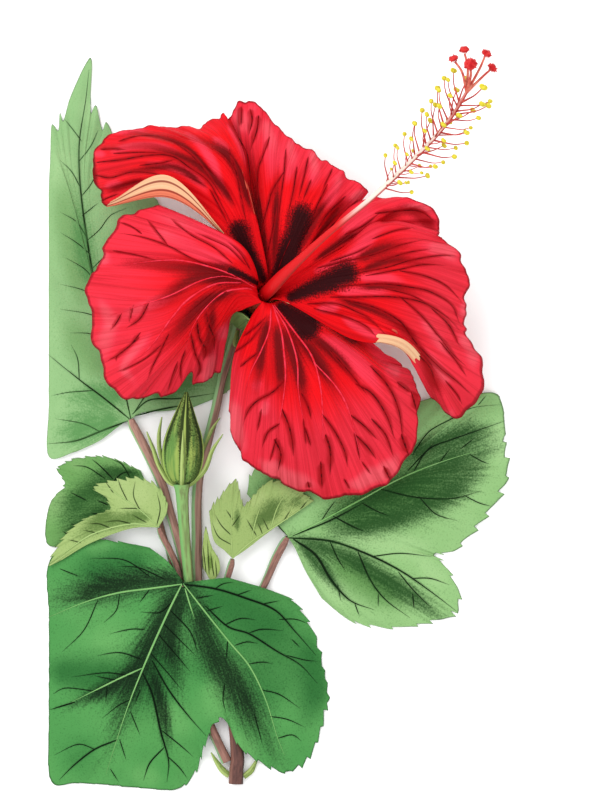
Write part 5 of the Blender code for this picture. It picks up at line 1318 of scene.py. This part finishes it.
def budSection(turn, t):
    swell = 0.965 + budShape["ridge"] * budRidge(turn, t) + 0.03 * bump(budSeam(turn) - 0.62, 0.3)
    return swell, swell


def budFinish():
    kit = Finish("budSkin")
    streak = kit.fibres(26.0, 3.0, 4.0)
    grain = kit.speckle(1800.0, 2.0)
    # painted shade: the right side, and the gutter map beside and round the ribs, darken the skin
    right = kit.painted("leftward") * -1.0 + 0.5 * (streak - 0.5) + 1.0 * (grain - 0.5)
    dark = kit.painted("gutter") + 1.2 * (grain - 0.5) + 0.4 * (streak - 0.5)
    colour = kit.over(paint(160, 184, 92), paint(104, 148, 72), streak, 0.35, 0.65)
    colour = kit.over(colour, paint(34, 58, 22), right, 0.2, 0.95, 0.85)
    colour = kit.over(colour, paint(34, 48, 16), dark, 0.2, 0.85, 0.92)
    colour = kit.over(colour, paint(166, 192, 98), kit.painted("ridge"), 0.35, 0.8)
    return kit.closed(colour, 0.6 + 0.2 * grain, 0.5 * grain + 0.5 * streak, 0.0003, 0.12)


def bractSection(turn, t):
    return bractShape["wide"] + 0 * turn, bractShape["high"] + 0 * turn


# The calyx: radius and height over its base, its lobes, and how low the rim dips between them.
calyxShape = {
    "profile": [(1.4, 0.0), (3.4, 1.2), (5.2, 4.4), (6.2, 9.0), (6.6, 13.0), (7.2, 16.5), (8.4, 20.5), (10.2, 24.0)],
    "across": 120, "along": 40, "lobes": 5, "shortest": 0.62, "thickness": 0.5,
}


def calyxFinish():
    kit = Finish("calyxSkin")
    streak = kit.fibres(30.0, 2.0, 3.0)
    colour = kit.over(paint(140, 176, 96), paint(92, 130, 62), streak, 0.35, 0.7, 0.6)
    colour = kit.over(colour, paint(60, 84, 40), kit.painted("vein"), 0.5, 0.95, 0.6)
    return kit.closed(colour, 0.6 + 0.1 * streak, streak, 0.0003, 0.3)


def makeCalyx():
    across, along, lobes = [calyxShape[key] for key in ("across", "along", "lobes")]
    turn = np.linspace(0, 2 * np.pi, across, endpoint=False)
    high = calyxShape["shortest"] + (1 - calyxShape["shortest"]) * np.abs(np.cos(lobes / 2 * turn)) ** 1.3
    t = np.linspace(0, 1, along)[None, :] * high[:, None]
    line = spline(calyxShape["profile"], (t * (len(calyxShape["profile"]) - 1)).ravel()).reshape(across, along, 2)
    first = np.cross(bloomAxis, (0, 0, 1))
    first /= np.linalg.norm(first)
    second = np.cross(bloomAxis, first)
    out = np.cos(turn)[:, None] * first + np.sin(turn)[:, None] * second
    points = np.array(petalMake["base"]) + out[:, None] * line[..., :1] + bloomAxis * line[..., 1:]
    u, v = turn[:, None] / (2 * np.pi) * np.ones(along), np.linspace(0, 1, along) * np.ones((across, 1))
    maps = {"vein": np.abs(np.cos(lobes * turn))[:, None] ** 30 * np.ones(along)}
    shell("calyx", points, calyxShape["thickness"], maps, (u, v), [calyxFinish()], "calyx", ["flower_calyx"], True)


# The column, its stamens and the stigmas.

columnShape = {
    "knots": [
        (-15.4, 29.2, 17.8, 1.9), (-9.5, 34.5, 34.0, 2.1), (-5.5, 38.5, 41, 1.9), (0, 43.5, 47, 1.35),
        (9, 51.5, 54, 0.98), (21.5, 61.5, 60, 0.85), (32, 71, 65, 0.74), (41.5, 80.5, 69, 0.66),
        (47, 87.5, 71.5, 0.6), (51, 94.2, 73, 0.5)],
    "sides": 28, "steps": 120, "pathSteps": 60,
}
stamenShape = {
    "count": 58, "from": 0.65, "to": 0.97, "turn": math.radians(137.5), "jitter": 0.35, "seed": 4,
    "smallest": 0.62, "largest": 1.14, "swell": 0.0075,  # sizes, and how much each is larger than the one below
    "filament": [(0.3, 0, -0.6, 0.27), (2.4, 0, 0.7, 0.21), (5.0, 0, 2.4, 0.16), (7.0, 0, 4.8, 0.12)],
    "anther": 0.8, "stretch": (0.85, 1.2, 0.8), "groove": 0.28, "grooveWidth": 0.25,
}
stigmaShape = {
    "root": (50.9, 93.9, 72.9), "bend": (0.5, 0.5, 0.4), "seed": 9, "flat": 0.66, "round": 0.95, "wide": 1.1,
    "hairs": 40, "shortest": 0.7, "longest": 1.3,
    "hair": [(0, 0, -0.1, 0.09), (0.02, 0, 0.2, 0.08), (0.0, 0, 0.42, 0.02)],
    "ends": [(46.5, 103.5, 76.0, 1.3), (50.0, 106.5, 71.0, 1.35), (51.5, 101.5, 79.0, 1.75),
             (56.5, 105.0, 76.0, 1.4), (58.5, 101.0, 71.5, 1.35)],
}
# first paint, second paint, how fine its patches are, and roughness
columnTints = {
    "filamentSkin": (paint(222, 84, 74), paint(176, 36, 34), 260.0, 0.5),
    "pollen": (paint(246, 232, 70), paint(216, 196, 40), 1500.0, 0.7),
    "styleSkin": (paint(240, 140, 116), paint(206, 70, 60), 500.0, 0.5),
    "stigmaVelvet": (paint(240, 62, 60), paint(206, 14, 26), 900.0, 0.75),
}


def plainFinish(name):
    first, other, scale, roughness = columnTints[name]
    return mottled(name, first, other, scale, 3.0, (0.35, 0.68), roughness, 0.0002, 0.25)


def columnFinish():
    kit = Finish("columnSkin")
    along = Amount(kit, kit.node("ShaderNodeSeparateXYZ", {}, {0: kit.flow()}).outputs[1])
    streak = kit.fibres(10.0, 14.0, 3.0)
    shadow = kit.painted("leftward") * -1.0 + 0.3 * (streak - 0.5)
    colour = kit.over(paint(228, 10, 18), paint(255, 240, 226), along + 0.08 * streak, 0.5, 0.62)
    colour = kit.over(colour, paint(216, 92, 78), along + 0.05 * streak, 0.72, 0.94, 0.8)
    colour = kit.over(colour, paint(196, 44, 38), shadow, -0.15, 0.3, 0.95)
    colour = kit.over(colour, paint(120, 24, 18), shadow, 0.55, 0.9, 0.8)
    return kit.closed(colour, 0.5 + 0.1 * streak, streak, 0.0002, 0.25)


def looseTube(name, knots, sides, steps):
    # a small tube at the origin, to be repeated
    line = splineOf(np.asarray(knots, float) * mm, steps)
    ahead = unit(np.gradient(line[:, :3], axis=0))
    over = np.array([0.0, 1.0, 0.0])
    side = np.cross(over, ahead)
    turn = np.linspace(0, 2 * np.pi, sides, endpoint=False)
    out = np.cos(turn)[:, None, None] * side[None] + np.sin(turn)[:, None, None] * over
    points = line[None, :, :3] + out * line[None, :, 3:4]
    vertices = np.concatenate([points.reshape(-1, 3), line[:1, :3], line[-1:, :3]])
    mesh = smoothMesh(name, vertices, quads(sides, steps, True, True).tolist() + tubeCaps(sides, steps, True))
    facedOut(mesh)
    return placed(name, mesh)


class Growth(NodeKit):
    # a Geometry Nodes tree being put together, with its named inputs

    def __init__(self, name, inputs):
        self.tree = bpy.data.node_groups.new(name, "GeometryNodeTree")
        self.tree.is_modifier = True
        face = self.tree.interface
        face.new_socket("Geometry", in_out="INPUT", socket_type="NodeSocketGeometry")
        self.ids = {label: face.new_socket(label, in_out="INPUT", socket_type="NodeSocket" + kind).identifier
                    for label, kind in inputs.items()}
        face.new_socket("Geometry", in_out="OUTPUT", socket_type="NodeSocketGeometry")
        self.given = self.tree.nodes.new("NodeGroupInput").outputs
        self.result = self.tree.nodes.new("NodeGroupOutput")

    def repeated(self, part):
        made = self.node("GeometryNodeObjectInfo", {"transform_space": "ORIGINAL"}, {"Object": part})
        return made.outputs["Geometry"]

    def random(self, low, high):
        sockets = {2: low, 3: high, "Seed": self.given["Seed"]}
        return self.node("FunctionNodeRandomValue", {"data_type": "FLOAT"}, sockets).outputs[1]

    def timesPlus(self, first, second, added):
        sockets = {0: first, 1: second, 2: added}
        return self.node("ShaderNodeMath", {"operation": "MULTIPLY_ADD"}, sockets).outputs[0]

    def end(self, geometry):
        real = self.node("GeometryNodeRealizeInstances", {}, {0: geometry}).outputs[0]
        coated = self.node("GeometryNodeSetMaterial", {}, {0: real, "Material": self.given["Finish"]})
        self.tree.links.new(coated.outputs[0], self.result.inputs[0])
        return self

    def grown(self, name, carrier, values, slotName, nodes, material):
        modifier = carrier.modifiers.new("Growth", "NODES")
        modifier.node_group = self.tree
        for label, value in {**values, "Finish": material}.items():
            modifier[self.ids[label]] = value
        ready = carrier.evaluated_get(bpy.context.evaluated_depsgraph_get())
        mesh = bpy.data.meshes.new_from_object(ready)
        mesh.name = name
        if not mesh.materials:
            mesh.materials.append(material)
        bpy.data.objects.remove(carrier)
        return declared(placed(name, mesh), slotName, nodes)


def stamenTree():
    # repeats a part round the upper column, each one turned on by the golden angle
    tree = Growth("stamens", {
        "Part": "Object", "Count": "Int", "From": "Float", "To": "Float", "Turn": "Float", "Jitter": "Float",
        "Smallest": "Float", "Largest": "Float", "Swell": "Float", "Seed": "Int", "Finish": "Material"})
    given = tree.given
    cut = tree.node("GeometryNodeTrimCurve", {"mode": "FACTOR"},
                    {0: given["Geometry"], "Start": given["From"], "End": given["To"]})
    dots = tree.node("GeometryNodeCurveToPoints", {"mode": "COUNT"}, {0: cut.outputs[0], "Count": given["Count"]})
    index = tree.node("GeometryNodeInputIndex", {}, {}).outputs[0]
    back = tree.node("ShaderNodeMath", {"operation": "MULTIPLY"}, {0: given["Jitter"], 1: -1.0}).outputs[0]
    turned = tree.timesPlus(index, given["Turn"], tree.random(back, given["Jitter"]))
    spin = tree.node("FunctionNodeAxisAngleToRotation", {}, {"Angle": turned})
    facing = tree.node("FunctionNodeRotateRotation", {"rotation_space": "LOCAL"},
                       {0: dots.outputs["Rotation"], 1: spin.outputs[0]})
    size = tree.timesPlus(index, given["Swell"], tree.random(given["Smallest"], given["Largest"]))
    grown = tree.node("GeometryNodeInstanceOnPoints", {}, {
        "Points": dots.outputs["Points"], "Instance": tree.repeated(given["Part"]),
        "Rotation": facing.outputs[0], "Scale": size})
    return tree.end(grown.outputs[0])


def columnPath():
    curve = bpy.data.curves.new("columnPath", "CURVE")
    curve.dimensions = "3D"
    line = curve.splines.new("POLY")
    route = (splineOf(columnShape["knots"], columnShape["pathSteps"])[:, :3] + sprigShift) * mm
    line.points.add(len(route) - 1)
    line.points.foreach_set("co", np.column_stack([route, np.ones(len(route))]).ravel())
    return placed("columnPath", curve)


def antherKnob():
    # a small kidney with a groove, sitting on the filament's tip
    mesh = bpy.data.meshes.new("antherKnob")
    work = bmesh.new()
    bmesh.ops.create_uvsphere(work, u_segments=12, v_segments=8, radius=stamenShape["anther"] * mm)
    tip = Vector(stamenShape["filament"][-1][:3]) * mm
    wide, long, high = stamenShape["stretch"]
    for vertex in work.verts:
        x, y, z = vertex.co
        groove = 1 - stamenShape["groove"] * math.exp(-((y / (stamenShape["grooveWidth"] * mm)) ** 2)) * (z > 0)
        vertex.co = Vector((x * wide, y * long, z * high * groove)) + tip
    bmesh.ops.recalc_face_normals(work, faces=work.faces)
    work.to_mesh(mesh)
    work.free()
    mesh.polygons.foreach_set("use_smooth", [True] * len(mesh.polygons))
    return placed("antherKnob", mesh)


def makeStamens():
    tree = stamenTree()
    labels = ("Count", "From", "To", "Turn", "Jitter", "Smallest", "Largest", "Swell", "Seed")
    values = {label: stamenShape[label.lower()] for label in labels}
    filament = looseTube("filamentPart", stamenShape["filament"], 6, 9)
    parts = (("filaments", filament, plainFinish("filamentSkin")), ("anthers", antherKnob(), plainFinish("pollen")))
    for name, part, finish in parts:
        tree.grown(name, columnPath(), {**values, "Part": part}, "staminal", [], finish)
        bpy.data.objects.remove(part)


def stigmaTree():
    # short hairs standing all over the knobs
    tree = Growth("stigmaHairs", {"Count": "Float", "Hair": "Object", "Shortest": "Float", "Longest": "Float",
                                  "Seed": "Int", "Finish": "Material"})
    given = tree.given
    dots = tree.node("GeometryNodeDistributePointsOnFaces", {"distribute_method": "RANDOM"},
                     {0: given["Geometry"], "Density": given["Count"], "Seed": given["Seed"]})
    grown = tree.node("GeometryNodeInstanceOnPoints", {}, {
        "Points": dots.outputs[0], "Instance": tree.repeated(given["Hair"]), "Rotation": dots.outputs[2],
        "Scale": tree.random(given["Shortest"], given["Longest"])})
    both = tree.node("GeometryNodeJoinGeometry", {}, {})
    tree.tree.links.new(given["Geometry"], both.inputs[0])
    tree.tree.links.new(grown.outputs[0], both.inputs[0])
    return tree.end(both.outputs[0])


def stigmaKnobs():
    # one round knob and flattened ones leaning out round it
    mesh = bpy.data.meshes.new("stigmaKnobs")
    work = bmesh.new()
    biggest = max(ball for *end, ball in stigmaShape["ends"])
    for *end, ball in stigmaShape["ends"]:
        lean = Vector(end) - Vector(stigmaShape["root"])
        high = stigmaShape["round"] if ball == biggest else stigmaShape["flat"]
        verts = bmesh.ops.create_icosphere(work, subdivisions=3, radius=ball * mm)["verts"]
        bmesh.ops.scale(work, verts=verts, vec=(stigmaShape["wide"], stigmaShape["wide"], high))
        bmesh.ops.rotate(work, verts=verts, matrix=lean.to_track_quat("Z", "Y").to_matrix())
        bmesh.ops.translate(work, verts=verts, vec=Vector((np.array(end) + sprigShift) * mm))
    work.to_mesh(mesh)
    work.free()
    return placed("stigmaKnobs", mesh)


def makeStigmas():
    root = np.array(stigmaShape["root"])
    salmon, velvet = plainFinish("styleSkin"), plainFinish("stigmaVelvet")
    for i, end in enumerate(stigmaShape["ends"]):
        end = np.array(end[:3])
        bend = root + (end - root) * 0.5 + np.array(stigmaShape["bend"])
        knots = [(*(root - (0.3, 0.5, 0.1)), 0.5), (*bend, 0.4), (*(root + (end - root) * 0.9), 0.36)]
        tube("style%d" % (i + 1), knots, 12, 24, [salmon], "stigma", [])
    hair = looseTube("hairPart", stigmaShape["hair"], 4, 3)
    values = {"Count": stigmaShape["hairs"] / (4 * math.pi * mm**2), "Hair": hair, "Seed": stigmaShape["seed"],
              "Shortest": stigmaShape["shortest"], "Longest": stigmaShape["longest"]}
    stigmaTree().grown("stigmas", stigmaKnobs(), values, "stigma", ["style_with_stigmas"], velvet)
    bpy.data.objects.remove(hair)


# Putting the sprig together.

petalThreads = {"petalVeins": ("vein", "crimson"), "petalRibs": ("pink", "rib")}
petalFinishes = [petalFace(), petalBack()]
for name, hues in petalThreads.items():
    first, other = [petalColours[hue] for hue in hues]
    petalFinishes.append(mottled(name, first, other, 500.0, 3.0, (0.35, 0.65), 0.6, 0.0001, 0.05))
for name in petalShapes:
    makePetal(name, petalFinishes)
print("petals made")

for name in leafShapes:
    makeLeaf(name)
print("leaves made")

barks = {name: stalkFinish(name, *tints) for name, tints in stalkTints.items()}
for name, (node, tint, route) in stalkRoutes.items():
    tube(name, route, stalkShape["sides"], stalkShape["steps"], [barks[tint]], "stalk", [node])
for name, (slotName, route) in bractRoutes.items():
    tube(name, route, bractShape["sides"], bractShape["steps"], [barks["bractSkin"]], slotName, [cadName(name)],
         bractSection)
tube("bud", budShape["knots"], budShape["sides"], budShape["steps"], [budFinish()], "bud", ["bud"],
     budSection, {"ridge": budRidge, "gutter": budGutter})
makeCalyx()
print("stalks, bud and calyx made")

tube("column", columnShape["knots"], columnShape["sides"], columnShape["steps"], [columnFinish()], "staminal",
     ["staminal_column"])
makeStamens()
makeStigmas()
print("column, stamens and stigmas made")

# Floor, light and camera; a lamp is its place, size and power.
studio = {
    "floor": 3.0, "floorTone": 0.95, "worldStrength": 1.15,
    "lamps": [((-0.55, 0.45, 1.0), 0.9, 9.2), ((0.7, -0.3, 0.9), 0.9, 3.0)],
    "cameraHeight": 1.422, "lens": 200.0, "nearest": 0.01, "farthest": 20.0,
}


def makeFloor():
    finish = bpy.data.materials.new("floorPaper")
    finish.use_nodes = True
    sockets = finish.node_tree.nodes["Principled BSDF"].inputs
    sockets["Base Color"].default_value = (*[studio["floorTone"]] * 3, 1.0)
    sockets["Roughness"].default_value = 1.0
    sockets["Specular IOR Level"].default_value = 0.0
    half = studio["floor"]
    mesh = bpy.data.meshes.new("floor")
    mesh.from_pydata([(-half, -half, 0), (half, -half, 0), (half, half, 0), (-half, half, 0)], [], [(0, 1, 2, 3)])
    mesh.materials.append(finish)
    floor = placed("floor", mesh)


def makeLights():
    world = bpy.data.worlds.new("studio")
    world.use_nodes = True
    sky = world.node_tree.nodes["Background"].inputs
    sky[0].default_value, sky[1].default_value = (1.0, 1.0, 1.0, 1.0), studio["worldStrength"]
    bpy.context.scene.world = world
    for i, (place, size, power) in enumerate(studio["lamps"]):
        light = bpy.data.lights.new("softbox%d" % (i + 1), "AREA")
        light.size, light.energy = size, power
        lamp = placed(light.name, light)
        lamp.location = place
        lamp.rotation_euler = (-Vector(place)).to_track_quat("-Z", "Y").to_euler()


def makeCamera():
    lens = bpy.data.cameras.new("camera")
    lens.lens, lens.clip_start, lens.clip_end = studio["lens"], studio["nearest"], studio["farthest"]
    camera = placed("camera", lens)
    camera.location = (sprigShift[0] * mm, sprigShift[1] * mm, studio["cameraHeight"])
    bpy.context.scene.camera = camera
    bpy.context.scene.view_settings.view_transform = "Standard"


makeFloor()
makeLights()
makeCamera()
print("studio ready")
